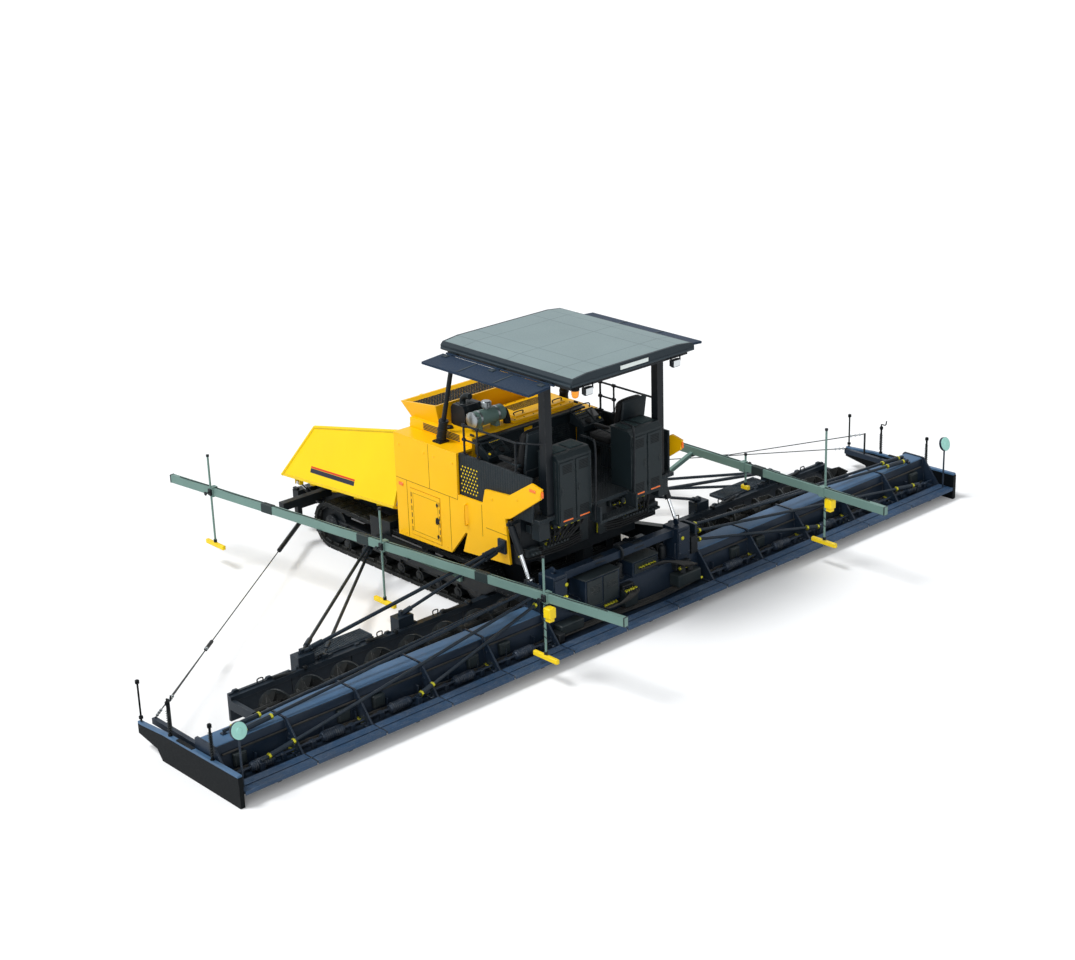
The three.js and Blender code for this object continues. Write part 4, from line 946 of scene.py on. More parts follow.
@dataclass
class Hopper(SubAssembly):
    """Conveyor chains, hinge knuckles, rubber aprons, wear plates and the push beam's fittings."""

    hinge_x: float = 0.74
    hinge_z: float = 0.9
    chain_pitch: float = 0.095
    chain_rows: tuple[float, ...] = (0.1, 0.665)
    knuckles: int = 7
    wing_front: float = -3.74
    wing_run: float = 2.78
    floor_rise: float = 0.19
    roller_y: float = -3.83
    roller_z: float = 0.54
    wear_plates: int = 4
    wear_pitch: float = 0.56

    def build(self) -> None:
        """Makes the hopper's fittings."""
        low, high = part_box("hopper_floor")
        self.front, self.rear = low[1], high[1]
        self.one("conveyor_chains", self._chains, Palette.STEEL_DARK)
        self.both("hinge_knuckles", self._knuckles, Palette.BLACK)
        self.both("wing_wear_plates", self._wear_plates, Palette.SCUFFED, body="{}_wing")
        self.both("wing_fittings", self._wing_fittings, Palette.WING_PLAIN, body="{}_wing")
        self.one("front_apron", self._apron, Palette.RUBBER)
        self.one("push_beam_fittings", self._push_beam, Palette.BLACK)
        self.both(
            "push_roller_rings", self._roller_rings, Palette.STEEL_DARK, 30, body="{}_push_roller",
            slot="charcoal_paint")

    def _chains(self) -> None:
        """Four chains: pairs of side plates with a pin between, repeated at the pitch."""
        link = Shape()
        for x in (-0.018, 0.018):
            link.block((x - 0.005, -0.044, 0), (x + 0.005, 0.044, 0.038), 0.004)
        link.rod((-0.026, 0.0, 0.019), (0.026, 0.0, 0.019), 0.011, 8)
        places = np.arange(self.front + 0.08, self.rear - 0.25, self.chain_pitch)
        rows = [sign * x for x in self.chain_rows for sign in (1, -1)]
        self.shape.copies(link, [(x, y, 0.553) for x in rows for y in places])

    def _knuckles(self) -> None:
        """Barrels round the hinge rod."""
        for y in np.linspace(self.front + 0.16, -1.1, self.knuckles):
            self.shape.turned((self.hinge_x, y - 0.05, self.hinge_z), REAR, sleeve(0.1, 0.028, 0.038), 16)

    def _wing_floor(self, x: float, y: float) -> Array:
        """The point of the wing's floor under a place: straight down from a little above the sloping floor."""
        wing = bpy.data.objects["left_hopper_wing"]
        back = (y - self.wing_front) / self.wing_run
        above = self.hinge_z + 0.085 + (x - self.hinge_x) / 0.66 * (0.075 + self.floor_rise * back)
        found, place, _, _ = wing.ray_cast(Vector((x, y, above)), Vector((0, 0, -1)))
        return np.array(place) if found else np.array([x, y, self.hinge_z])

    def _wear_plates(self) -> None:
        """Thin plates lying on the wing's floor, each held by two rows of countersunk bolts."""
        gap, thick = 0.01, 0.006
        for i in range(self.wear_plates):
            start = -3.3 + i * self.wear_pitch + gap
            places = np.linspace(start, start + self.wear_pitch - 2 * gap, 9)
            rows = [np.array([self._wing_floor(x, y) for y in places]) for x in np.linspace(0.81, 1.29, 9)]
            self.shape.rings(
                np.array([np.concatenate([row + [0, 0, thick], row[::-1] - [0, 0, 0.002]]) for row in rows]))
            for row in (rows[1], rows[-2]):
                self.shape.bolts([row[k] + [0, 0, thick] for k in (1, 4, 7)], (-0.2, 0, 1), 0.012, 0.004)

    def _wing_fittings(self) -> None:
        """Gussets under the wing's floor."""
        for y in (-3.05, -2.5, -1.95, -1.4):
            low_z = 0.96 + self.floor_rise * (y - self.wing_front) / self.wing_run
            self.shape.outline(
                [(0.8, 0.885), (1.36, low_z - 0.006), (1.36, low_z - 0.05), (1.3, low_z - 0.075), (0.89, 0.895)], 1,
                y - 0.006, y + 0.006, 0.002)

    def _apron(self) -> None:
        """A rubber lip across the hopper's mouth, in overlapping flaps under a clamp bar."""
        front = self.front - 0.03
        for i in range(6):
            x = -0.72 + i * 0.242
            self.shape.block((x, front - 0.012 - 0.006 * (i % 2), 0.545), (x + 0.252, front + 0.004, 0.84), 0.004)
        self.shape.block((-0.73, front - 0.03, 0.66), (0.73, front - 0.016, 0.7))
        self.shape.bolts([(x, front - 0.03, 0.68) for x in np.linspace(-0.68, 0.68, 13)], FRONT, 0.012, 0.01)

    def _push_beam(self) -> None:
        """Bolted pads, a tow eye and end caps on the push beam."""
        low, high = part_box("push_beam")
        face = low[1] + 0.168
        for x in (-1.12, -0.3, 0.3, 1.12):
            self.shape.block((x - 0.09, face - 0.016, 0.44), (x + 0.09, face + 0.01, 0.66))
            spots = [(x + dx, face - 0.016, z) for dx in (-0.06, 0.06) for z in (0.48, 0.62)]
            self.shape.bolts(spots, FRONT, 0.016, 0.012)
        for sign in (-1, 1):
            self.shape.block((sign * 1.18, low[1] + 0.16, 0.7), (sign * 1.24, high[1] - 0.1, 0.73))
        self.shape.turned((-0.02, low[1] + 0.09, 0.66), LEFT, sleeve(0.04, 0.022, 0.05), 18)

    def _roller_rings(self) -> None:
        """Raised bands near the roller's ends."""
        for x in (0.16, 0.6, 1.02):
            self.shape.turned((x, self.roller_y, self.roller_z), LEFT, sleeve(0.038, 0.098, 0.104, 0.004), 28)


@dataclass
class Bodywork(SubAssembly):
    """Seams, grilles, latches, handles and lamps of the yellow body, and what stands on its top."""

    panel_x: float = 1.36
    door_front: float = -0.59
    door_rear: float = 0.08
    door_low: float = 0.85
    door_top: float = 1.57
    cowl_top: float = 2.48
    outlet_x: float = 0.74
    outlet_y: float = -0.07
    cleaner_y: float = 0.27
    cleaner_z: float = 2.65

    def build(self) -> None:
        """Makes the body's fittings."""
        self.both("panel_seams", self._seams, Palette.SEAM)
        self.both("panel_fittings", self._panel_fittings, Palette.BODY)
        self.both("door_seams", self._door_seams, Palette.SEAM, body="{}_side_door")
        self.both("door_fittings", self._door_fittings, Palette.BLACK, body="{}_side_door")
        self.both("body_grilles", self._grilles, Palette.CHARCOAL)
        self.both("marker_lenses", self._lenses, Palette.ORANGE)
        self.one("scoop_grille", self._scoop, Palette.CHARCOAL)
        self.one("cowl_rear_panel", self._cowl_rear, Palette.CHARCOAL)
        self.one("cowl_top_fittings", self._cowl_top, Palette.BLACK)
        self.one("hood_fittings", self._hood, Palette.BLACK, body="engine_hood")
        self.one("muffler_fittings", self._muffler, Palette.STEEL_DARK, 30, slot="black_paint")
        self.one("air_cleaner_fittings", self._air_cleaner, Palette.STEEL, 30)
        self.one("air_intake_elbow", self._elbow, Palette.RUBBER, 30)

    def _strip(self, y: float, z: float, y_end: float, z_end: float, wide: float = 0.008) -> None:
        """A thin dark strip on the side panel's face between two places."""
        face = self.panel_x
        self.shape.bar((face, y, z), (face, y_end, z_end), 0.005, wide, 0.001)

    def _seams(self) -> None:
        """The lines where the side's panels meet."""
        for y, z, y_end, z_end in (
            (-0.9, 1.66, 0.47, 1.66), (0.29, 0.82, 0.29, 1.66), (-0.66, 0.8, -0.66, 1.66), (-0.14, 1.66, -0.14, 2.33),
            (0.47, 1.66, 0.47, 1.73), (0.98, 1.25, 0.98, 1.72), (1.5, 1.4, 1.06, 1.4)
        ):
            self._strip(y, z, y_end, z_end)

    def _panel_fittings(self) -> None:
        """Latches, a grab handle and the bolts along the panel's edges."""
        face = self.panel_x
        for y, z in ((-0.8, 2.18), (-0.24, 2.18), (-0.02, 2.18), (0.38, 2.18), (1.2, 1.86), (1.72, 1.99)):
            self.shape.turned((face - 0.002, y, z), LEFT, cap(0.009, 0.022, 0.006, 0.016), 16)
        grab = [(face, 0.66, 1.34), (face + 0.045, 0.66, 1.36), (face + 0.045, 0.66, 1.62), (face, 0.66, 1.64)]
        self.shape.curve(grab, 5, 0.011)
        for y in np.linspace(-0.86, 0.42, 9):
            self.shape.bolts([(face, y, 2.315)], LEFT, 0.009, 0.005)
        spots = [
            (face, y, z) for y, z in ((-0.84, 0.83), (-0.72, 0.83), (0.2, 0.86), (1.1, 1.06), (1.44, 1.06), (1.44, 1.5))
        ]
        self.shape.bolts(spots, LEFT, 0.012, 0.007)

    def _door_seams(self) -> None:
        """The pressed line round the door's middle."""
        face = self.panel_x + 0.004
        y0, y1, z0, z1 = self.door_front + 0.06, self.door_rear - 0.06, self.door_low + 0.07, self.door_top - 0.07
        ring = [(y0, z0), (y1, z0), (y1, z1), (y0, z1)]
        for (ya, za), (yb, zb) in zip(ring, ring[1:] + ring[:1]):
            self.shape.bar((face, ya, za), (face, yb, zb), 0.003, 0.006, 0.001)

    def _door_fittings(self) -> None:
        """Slotted hinge lines down both edges, two latches and a pull."""
        face = self.panel_x + 0.004
        for y in (self.door_front + 0.025, self.door_rear - 0.025):
            for z in np.arange(self.door_low + 0.06, self.door_top - 0.1, 0.105):
                self.shape.block((face - 0.003, y - 0.006, z), (face + 0.004, y + 0.006, z + 0.07), 0.002)
        for z in (0.97, 1.45):
            self.shape.turned((face - 0.002, 0.01, z), LEFT, cap(0.01, 0.024, 0.007, 0.018), 16)
            self.shape.block((face, 0.004, z - 0.03), (face + 0.014, 0.016, z + 0.03), 0.003)
        self.shape.block((face, -0.03, 1.17), (face + 0.006, 0.045, 1.25))
        self.shape.tube(
            smooth_path([(face, 0.01, 1.16), (face + 0.03, 0.01, 1.18), (face + 0.03, 0.01, 1.24), (face, 0.01, 1.26)],
            4), 0.007, 8)

    def _grilles(self) -> None:
        """Louvres on the front wall beside the hopper, and on the cowl's upper side."""
        for row in range(12):
            z = 1.32 + row * 0.07
            self.shape.outline(
                [(-0.935, z), (-0.903, z + 0.03), (-0.903, z + 0.045), (-0.94, z + 0.012)], 0, 1.1, 1.3, 0.002)
        self.shape.block((1.085, -0.925, 1.27), (1.1, -0.903, 2.17))
        self.shape.block((1.3, -0.925, 1.27), (1.315, -0.903, 2.17))
        for row in range(5):
            z = 2.365 + row * 0.022
            self.shape.block((1.048, -0.6, z), (1.058, 0.2, z + 0.01), 0.002)

    def _lenses(self) -> None:
        """An orange reflector at the fender's tip, and one low on the panel's front."""
        self.shape.block((self.panel_x - 0.036, 2.205, 2.13), (self.panel_x - 0.004, 2.222, 2.22), 0.004)
        self.shape.block((self.panel_x, 1.98, 2.175), (self.panel_x + 0.009, 2.1, 2.215), 0.004)
        self.shape.block((self.panel_x, -0.84, 1.55), (self.panel_x + 0.008, -0.74, 1.6), 0.004)

    def _scoop(self) -> None:
        """A mesh of bars in the scoop's mouth, following its slope."""
        for x in np.linspace(-0.95, 0.95, 39):
            self.shape.bar((x, -0.98, 2.655), (x, -0.36, 2.7), 0.007, 0.012, 0.001)
        for y, z in zip(np.linspace(-0.97, -0.37, 11), np.linspace(2.652, 2.695, 11)):
            self.shape.bar((-0.97, y, z), (0.97, y, z), 0.008, 0.016, 0.001)

    def _cowl_rear(self) -> None:
        """The panel facing the operators: two hinged covers with slots, and a shelf."""
        face = 0.46
        for x in (-0.5, 0.5):
            self.shape.block((x - 0.42, face, 1.82), (x + 0.42, face + 0.012, 2.42))
            for row in range(10):
                self.shape.block(
                    (x - 0.3, face + 0.01, 1.95 + row * 0.032), (x + 0.3, face + 0.018, 1.962 + row * 0.032), 0.002)
            self.shape.bolts(
                [(x + dx, face + 0.012, z) for dx in (-0.38, 0.38) for z in (1.86, 2.38)], REAR, 0.012, 0.008)
        self.shape.block((-1.04, face, 2.425), (1.04, face + 0.1, 2.455))

    def _cowl_top(self) -> None:
        """Hinges, a fuel cap, a lifting eye at each corner, and tread strips on the cowl's top."""
        top = self.cowl_top
        self.shape.turned((0.98, -0.1, top - 0.002), UP, cap(0.038, 0.055, 0.03, 0.045), 20)
        for x in (-1.0, 0.99):
            for y in (-0.2, 0.4):
                self.shape.block((x - 0.012, y - 0.04, top - 0.01), (x + 0.012, y + 0.04, top + 0.03))
        for x in (-0.75, -0.35, 0.05):
            self.shape.rod((x - 0.06, -0.243, top + 0.018), (x + 0.06, -0.243, top + 0.018), 0.014, 12)
        for x in np.linspace(0.3, 0.46, 4):
            self.shape.block((x, -0.22, top), (x + 0.018, 0.1, top + 0.006), 0.002)

    def _hood(self) -> None:
        """Two bow handles, a row of slots and two rows of bolts on the engine hood."""
        low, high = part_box("engine_hood")
        for x in (-0.72, 0.03):
            bow = [
                (x - 0.08, 0.3, high[2]), (x - 0.08, 0.3, high[2] + 0.04), (x + 0.08, 0.3, high[2] + 0.04),
                (x + 0.08, 0.3, high[2])]
            self.shape.curve(bow, 5, 0.009)
        for row in range(8):
            y = -0.08 + row * 0.03
            self.shape.block((-0.68, y, high[2] - 0.004), (-0.02, y + 0.012, high[2] + 0.006), 0.002)
        spots = [(x, y, low[2] + 0.037) for x in np.linspace(-0.88, 0.19, 7) for y in (-0.19, 0.4)]
        self.shape.bolts(spots, UP, 0.011, 0.007)

    def _muffler(self) -> None:
        """Straps, a slotted shield and an angled outlet on the muffler."""
        low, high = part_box("muffler")
        for x in (low[0] + 0.07, high[0] - 0.09):
            outline = [
                (-0.225, 2.5), (-0.182, 2.484), (0.042, 2.484), (0.085, 2.52), (0.085, 2.732), (0.043, 2.795),
                (-0.183, 2.795), (-0.225, 2.742)]
            self.shape.outline(outline, 0, x, x + 0.025, 0.002)
        for row in range(9):
            x = low[0] + 0.115 + row * 0.014
            self.shape.block((x, -0.15, high[2] - 0.003), (x + 0.006, 0.01, high[2] + 0.005), 0.001)
        path = smooth_path(
            [(self.outlet_x, self.outlet_y, 2.78), (self.outlet_x, self.outlet_y, 2.86), (self.outlet_x, 0.0, 2.92),
            (self.outlet_x, 0.09, 2.93)], 6)
        self.shape.tube(path, 0.045, 18)
        self.shape.turned((self.outlet_x, self.outlet_y, 2.785), UP, [(0, 0.06), (0.012, 0.06), (0.012, 0.045)], 18)

    def _air_cleaner(self) -> None:
        """Two band clamps, an end cover with three catches, and the pre-cleaner's bowl."""
        for x in (0.45, 0.77):
            self.shape.turned((x - 0.015, self.cleaner_y, self.cleaner_z), LEFT, sleeve(0.03, 0.114, 0.119), 30)
        self.shape.turned(
            (0.86, self.cleaner_y, self.cleaner_z), LEFT,
            [(0, 0.114), (0, 0.12), (0.02, 0.12), (0.03, 0.1), (0.034, 0.03), (0.034, 0.0)], 30)
        for angle in (0.5, 2.6, 4.7):
            y, z = self.cleaner_y + 0.118 * math.cos(angle), self.cleaner_z + 0.118 * math.sin(angle)
            self.shape.block((0.83, y - 0.012, z - 0.012), (0.88, y + 0.012, z + 0.012), 0.003)
        self.shape.turned(
            (0.6, 0.27, 2.76), UP, [(0, 0.035), (0.03, 0.035), (0.035, 0.075), (0.1, 0.075), (0.115, 0.06),
            (0.12, 0.0)], 24)

    def _elbow(self) -> None:
        """The rubber bend from the air cleaner down into the cowl."""
        path = smooth_path([(0.32, 0.27, 2.65), (0.27, 0.27, 2.64), (0.262, 0.3, 2.56), (0.262, 0.32, 2.47)], 6)
        self.shape.tube(path, 0.055, 18)


@dataclass
class Seat(SubAssembly):
    """An operator's seat: two cushions with sewn channels, armrests, a shell and its slides."""

    sign: int
    word: str
    centre_x: float = 0.9
    width: float = 0.52
    pan_z: float = 2.205
    lean: float = 0.17
    arm_reach: float = 0.285

    def build(self) -> None:
        """Makes the seat in place of the plain solid."""
        x = self.sign * self.centre_x
        lower = partial(self._pillow, (x, 1.22, self.pan_z), (self.width / 2, 0.235, 0.075), 0.0)
        upper = partial(self._pillow, (x, 1.575, 2.575), (self.width / 2 - 0.01, 0.075, 0.3), self.lean)
        seat = self.one(f"{self.word}_seat_cushion", lower, Palette.VINYL, 70)
        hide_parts(f"{self.word}_seat")
        self.one(f"{self.word}_seat_back", upper, Palette.VINYL, 70)
        for side in (-1, 1):
            arm = partial(self._pillow, (x + side * self.arm_reach, 1.33, 2.435), (0.03, 0.145, 0.028), 0.0)
            self.one(f"{self.word}_armrest_{side + 2}", arm, Palette.VINYL, 70)
        self.one(f"{self.word}_seat_shell", partial(self._shell, x), Palette.CHARCOAL)
        self.one(f"{self.word}_seat_piping", partial(self._piping, x), Palette.RUBBER, 60, slot="seat_black")

    def _loop(self, count: int, power: float) -> tuple[Array, Array]:
        """A rounded square: each of cosine and sine raised to a power with its sign kept."""
        angle = around(count)
        cosine, sine = np.cos(angle), np.sin(angle)
        return np.sign(cosine) * np.abs(cosine) ** power, np.sign(sine) * np.abs(sine) ** power

    def _pillow(self, centre: Point, half: Point, lean: float) -> None:
        """A crowned form: a rounded square whose size falls off towards both faces as a root of the cosine.

        Its sides pull in between the corners by a share of the height, and two channels are sunk
        across its widest face by a bell curve.

        Args:
            centre: its middle.
            half: half its sizes along x, y and z.
            lean: how far it tips back, in radians.
        """
        across_x, across_y = self._loop(72, 0.36)
        level = np.linspace(-math.pi / 2 + 0.06, math.pi / 2 - 0.06, 26)
        size, rise = np.cos(level) ** 0.42, np.sign(level) * np.abs(np.sin(level)) ** 0.75
        thin = int(np.argmin(half))
        wide = [i for i in range(3) if i != thin]
        rings = np.empty((len(level), len(across_x), 3))
        pinch = 1 - 0.05 * (1 - np.abs(rise))[:, None] * np.abs(across_x * across_y)[None]
        rings[:, :, wide[0]] = half[wide[0]] * size[:, None] * across_x * pinch
        rings[:, :, wide[1]] = half[wide[1]] * size[:, None] * across_y * pinch
        crown = 1 + 0.18 * (1 - (rings[:, :, wide[0]] / half[wide[0]]) ** 2) * (
            1 - (rings[:, :, wide[1]] / half[wide[1]]) ** 2)
        run = rings[:, :, wide[1]] / half[wide[1]]
        sunk = sum(np.exp(-(((run - place) / 0.05) ** 2)) for place in (-0.35, 0.35))
        rings[:, :, thin] = half[thin] * 0.82 * rise[:, None] * (crown - 0.16 * sunk)
        turned = rings.copy()
        turned[:, :, 1] = rings[:, :, 1] * math.cos(lean) + rings[:, :, 2] * math.sin(lean)
        turned[:, :, 2] = rings[:, :, 2] * math.cos(lean) - rings[:, :, 1] * math.sin(lean)
        self.shape.rings(turned + np.asarray(centre, float))

    def _piping(self, x: float) -> None:
        """A cord sewn round the edge of each cushion's widest face."""
        across_x, across_y = self._loop(60, 0.36)
        base = np.stack([x + 0.245 * across_x, 1.22 + 0.218 * across_y, np.full(60, self.pan_z + 0.043)], -1)
        self.shape.tube(np.vstack([base, base[:2]]), 0.005, 6)
        rise = 0.275 * across_y
        back = np.stack(
            [x + 0.235 * across_x, 1.575 - 0.045 + rise * math.sin(self.lean), 2.575 + rise * math.cos(self.lean)], -1)
        self.shape.tube(np.vstack([back, back[:2]]), 0.005, 6)

    def _shell(self, x: float) -> None:
        """The moulded back, the pan under the cushion, its slides, the armrests' stalks and the belt's catch."""
        half = self.width / 2
        self.shape.outline(
            [(1.6, 2.28), (1.635, 2.27), (1.725, 2.84), (1.7, 2.87), (1.685, 2.85)], 0, x - half + 0.03,
            x + half - 0.03, 0.012)
        self.shape.block((x - half + 0.02, 1.01, 2.141), (x + half - 0.02, 1.5, 2.165), 0.01)
        self.shape.outline(
            [(1.42, 2.145), (1.6, 2.145), (1.66, 2.3), (1.62, 2.31), (1.56, 2.2), (1.42, 2.18)], 0, x - half + 0.05,
            x + half - 0.05, 0.006)
        for side in (-1, 1):
            edge = x + side * self.arm_reach
            self.shape.bar((edge, 1.56, 2.38), (edge, 1.2, 2.405), 0.022, 0.022)
            self.shape.rod((edge - side * 0.05, 1.56, 2.38), (edge + side * 0.012, 1.56, 2.38), 0.022, 12)
        self.shape.block((x - 0.27, 1.44, 2.2), (x - 0.25, 1.47, 2.3))


@dataclass
class Platform(SubAssembly):
    """Consoles, cabinets, steps, rails and the pipework of the operators' platform."""

    deck_z: float = 1.75
    cabinet_top: float = 2.6
    skirt_x: float = 1.317
    slope: Point = (0, 0.53, 0.848)
    slope_top: Point = (0, 0.642, 2.449)
    slope_foot: Point = (0, 0.879, 2.301)

    def build(self) -> None:
        """Makes the platform's fittings."""
        low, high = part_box("left_cabinet")
        self.cab_in, self.cab_front, self.cab_out, self.cab_rear = low[0], 1.755, high[0], high[1]
        for word, sign in SIDES:
            Seat(self.shop, sign, word).build()
        self.both("console_panel", self._console, Palette.CABINET)
        self.both("console_screen", self._screen, Palette.GLASS)
        self.both("console_knobs", self._knobs, Palette.RUBBER, 30)
        self.both("console_buttons", self._buttons, Palette.SENSOR, 30, slot="black_paint")
        self.both("cabinet_doors", self._cabinet, Palette.CABINET)
        self.both("cabinet_vents", self._vents, Palette.RUBBER)
        self.both("cabinet_pads", self._pads, Palette.TEAL)
        self.both("cabinet_strips", self._strips, Palette.ORANGE, slot="charcoal_paint")
        self.both("skirt_grip", self._grip, Palette.SENSOR, slot="body_yellow")
        self.both("platform_rails", self._rails, Palette.BLACK, 30)
        self.one("deck_treads", self._treads, Palette.TREAD)
        self.both("valve_blocks", self._valves, Palette.CHARCOAL)
        self.both("hydraulic_pipes", self._pipes, Palette.HOSE, 30)
        self.both("pipe_fittings", self._fittings, Palette.FITTING, 30)

    def _on_slope(self, x: float, share: float, lift: float) -> Array:
        """A place on the console's sloping face, a share of the way down it and lifted off it."""
        top, foot = np.array(self.slope_top), np.array(self.slope_foot)
        return top + (foot - top) * share + (np.multiply(self.slope, lift) + [x, 0, 0])

    def _tilted(self, x_low: float, x_high: float, share_low: float, share_high: float, lift: float) -> None:
        """Adds a thin plate lying on the console's slope."""
        corners = [(x_low, share_low), (x_high, share_low), (x_high, share_high), (x_low, share_high)]
        rings = [np.array([self._on_slope(x, share, level) for x, share in corners]) for level in (-0.004, lift)]
        self.shape.rings(np.stack(rings))

    def _console(self) -> None:
        """A raised switch panel, the column's cover and a rail round the console."""
        self._tilted(0.72, 0.93, 0.08, 0.92, 0.008)
        self._tilted(0.945, 1.085, 0.08, 0.92, 0.012)
        self.shape.block((0.8, 0.776, 1.8), (1.0, 0.792, 2.15))
        self.shape.bolts([(x, 0.792, z) for x in (0.82, 0.98) for z in (1.83, 2.12)], REAR, 0.01, 0.006)
        rail = [(0.72, 0.6, 2.44), (0.72, 0.585, 2.5), (0.9, 0.58, 2.51), (1.08, 0.585, 2.5), (1.08, 0.6, 2.44)]
        self.shape.curve(rail, 6, 0.01)

    def _screen(self) -> None:
        """The dark display."""
        self._tilted(0.955, 1.075, 0.14, 0.62, 0.016)

    def _knobs(self) -> None:
        """Two rows of toggles, the travel lever and the steering dial."""
        for x in np.linspace(0.74, 0.91, 6):
            for share in (0.3, 0.52):
                self.shape.turned(
                    self._on_slope(x, share, 0.006), self.slope,
                    [(0, 0.008), (0.014, 0.007), (0.018, 0.004), (0.018, 0)], 10)
        self.shape.turned(self._on_slope(0.83, 0.78, 0.006), self.slope, cap(0.028, 0.045, 0.02, 0.038), 22)
        lever = self._on_slope(1.01, 0.8, 0.0)
        self.shape.turned(
            lever, self.slope, [(0, 0.026), (0.02, 0.022), (0.03, 0.008), (0.09, 0.007), (0.095, 0.016), (0.125, 0.018),
            (0.14, 0.01), (0.142, 0)], 14)

    def _buttons(self) -> None:
        """A row of small push buttons and the red stop's yellow collar."""
        for x in np.linspace(0.74, 0.91, 7):
            self.shape.turned(self._on_slope(x, 0.14, 0.006), self.slope, [(0, 0.007), (0.005, 0.007), (0.006, 0)], 10)
        self.shape.turned(self._on_slope(1.055, 0.8, 0.01), self.slope, [(0, 0.02), (0.006, 0.02), (0.007, 0)], 16)

    def _cabinet(self) -> None:
        """Two doors on the rear face with hinges and latches, two on the front, one on the outer side, and a lid's lip.
        """
        wide = (self.cab_out - self.cab_in) / 2
        for i in range(2):
            x0 = self.cab_in + 0.02 + i * wide
            x1 = x0 + wide - 0.035
            self.shape.block((x0, self.cab_rear - 0.002, 1.64), (x1, self.cab_rear + 0.014, 2.5))
            self.shape.block((x0 + 0.02, self.cab_front - 0.012, 1.8), (x1, self.cab_front + 0.002, 2.54))
            for z in (1.76, 2.38):
                self.shape.rod(
                    (x0 + 0.004, self.cab_rear + 0.014, z - 0.03), (x0 + 0.004, self.cab_rear + 0.014, z + 0.03), 0.009,
                    8)
            self.shape.block((x1 - 0.05, self.cab_rear + 0.012, 2.04), (x1 - 0.025, self.cab_rear + 0.026, 2.14))
        self.shape.block(
            (self.cab_out - 0.002, self.cab_front + 0.03, 1.64), (self.cab_out + 0.012, self.cab_rear - 0.04, 2.52))
        self.shape.block(
            (self.cab_in - 0.012, self.cab_front - 0.014, self.cabinet_top - 0.012),
            (self.cab_out + 0.014, self.cab_rear - 0.055, self.cabinet_top + 0.01))

    def _vents(self) -> None:
        """Slots at the top and foot of the rear doors and on the outer side."""
        for x in (self.cab_in + 0.07, self.cab_in + 0.37):
            for row in range(6):
                for base in (2.34, 1.7):
                    z = base + row * 0.022
                    self.shape.block((x, self.cab_rear + 0.01, z), (x + 0.17, self.cab_rear + 0.018, z + 0.009), 0.002)
        for row in range(8):
            z = 2.1 + row * 0.03
            self.shape.block((self.cab_out + 0.008, 1.84, z), (self.cab_out + 0.016, 2.06, z + 0.012), 0.002)

    def _pads(self) -> None:
        """Rubber mats on the cabinet's top."""
        for x in (self.cab_in + 0.03, self.cab_in + 0.33):
            self.shape.block(
                (x, self.cab_front + 0.04, self.cabinet_top + 0.008),
                (x + 0.24, self.cab_rear - 0.12, self.cabinet_top + 0.018))

    def _strips(self) -> None:
        """Orange reflecting strips low on the rear doors."""
        for x in (self.cab_in + 0.06, self.cab_in + 0.37):
            self.shape.block((x, self.cab_rear + 0.012, 1.655), (x + 0.18, self.cab_rear + 0.018, 1.675), 0.002)

    def _grip(self) -> None:
        """Rows of small raised yellow studs on the black skirt, every second row set over by half a step."""
        stud = Shape().turned((self.skirt_x, 0, 0), LEFT, cap(0.006, 0.013, 0.004, 0.009), 8)
        rows = [(y + 0.03 * (i % 2), 1.8 + i * 0.052) for i in range(8) for y in np.arange(0.53, 0.84, 0.06)]
        self.shape.copies(stud, [(0, y, z) for y, z in rows])

    def _rails(self) -> None:
        """A gate across the step on each side, kick plates, and clamps where the rails meet."""
        path = [(0.37, 2.2, 1.55), (0.37, 2.22, 2.1), (0.37, 2.22, 2.62), (0.37, 2.14, 2.7), (0.37, 1.95, 2.7)]
        self.shape.curve(path, 5, 0.016, 10)
        for z in (2.56, 2.77):
            for y in (0.6, 0.88):
                self.shape.turned((1.304, y - 0.03, z), REAR, sleeve(0.06, 0.02, 0.026, 0.006), 12)
        for y in (0.6, 0.88, 1.66):
            self.shape.block((1.275, y - 0.045, 2.345), (1.333, y + 0.045, 2.357))
            self.shape.bolts([(1.304, y + dy, 2.357) for dy in (-0.032, 0.032)], UP, 0.01, 0.007)

    def _treads(self) -> None:
        """Raised diamond bars over the deck and its rear step, in two crossing families."""
        for i, y in enumerate(np.arange(0.55, 1.72, 0.055)):
            for x in np.arange(-0.6 + 0.03 * (i % 2), 0.6, 0.06):
                slant = 0.016 if i % 2 else -0.016
                self.shape.bar(
                    (x - 0.016, y - slant, self.deck_z + 0.001), (x + 0.016, y + slant, self.deck_z + 0.001), 0.007,
                    0.006, 0.002)
        for y in np.linspace(2.12, 2.27, 5):
            self.shape.block((-0.32, y, 1.529), (0.32, y + 0.012, 1.537), 0.002)

    def _valves(self) -> None:
        """Manifolds and solenoid coils on the rear box, below the cabinets."""
        for x, z, wide in ((0.3, 1.42, 0.34), (0.92, 1.46, 0.28), (0.55, 1.16, 0.42), (1.06, 1.12, 0.2)):
            self.shape.block((x, 1.7, z), (x + wide, 1.8, z + 0.12))
            for step in np.arange(0.03, wide - 0.02, 0.06):
                self.shape.rod((x + step, 1.8, z + 0.06), (x + step, 1.87, z + 0.06), 0.02, 12)
        for x in (0.42, 0.66, 0.88):
            self.shape.rod((x, 1.93, 1.598), (x, 1.93, 1.5), 0.034, 14)
            self.shape.block((x - 0.045, 1.88, 1.575), (x + 0.045, 1.98, 1.598))
        self.shape.block((1.05, 1.86, 1.42), (1.24, 2.02, 1.7))
        self.shape.block((0.1, 1.7, 1.06), (0.26, 1.77, 1.66))

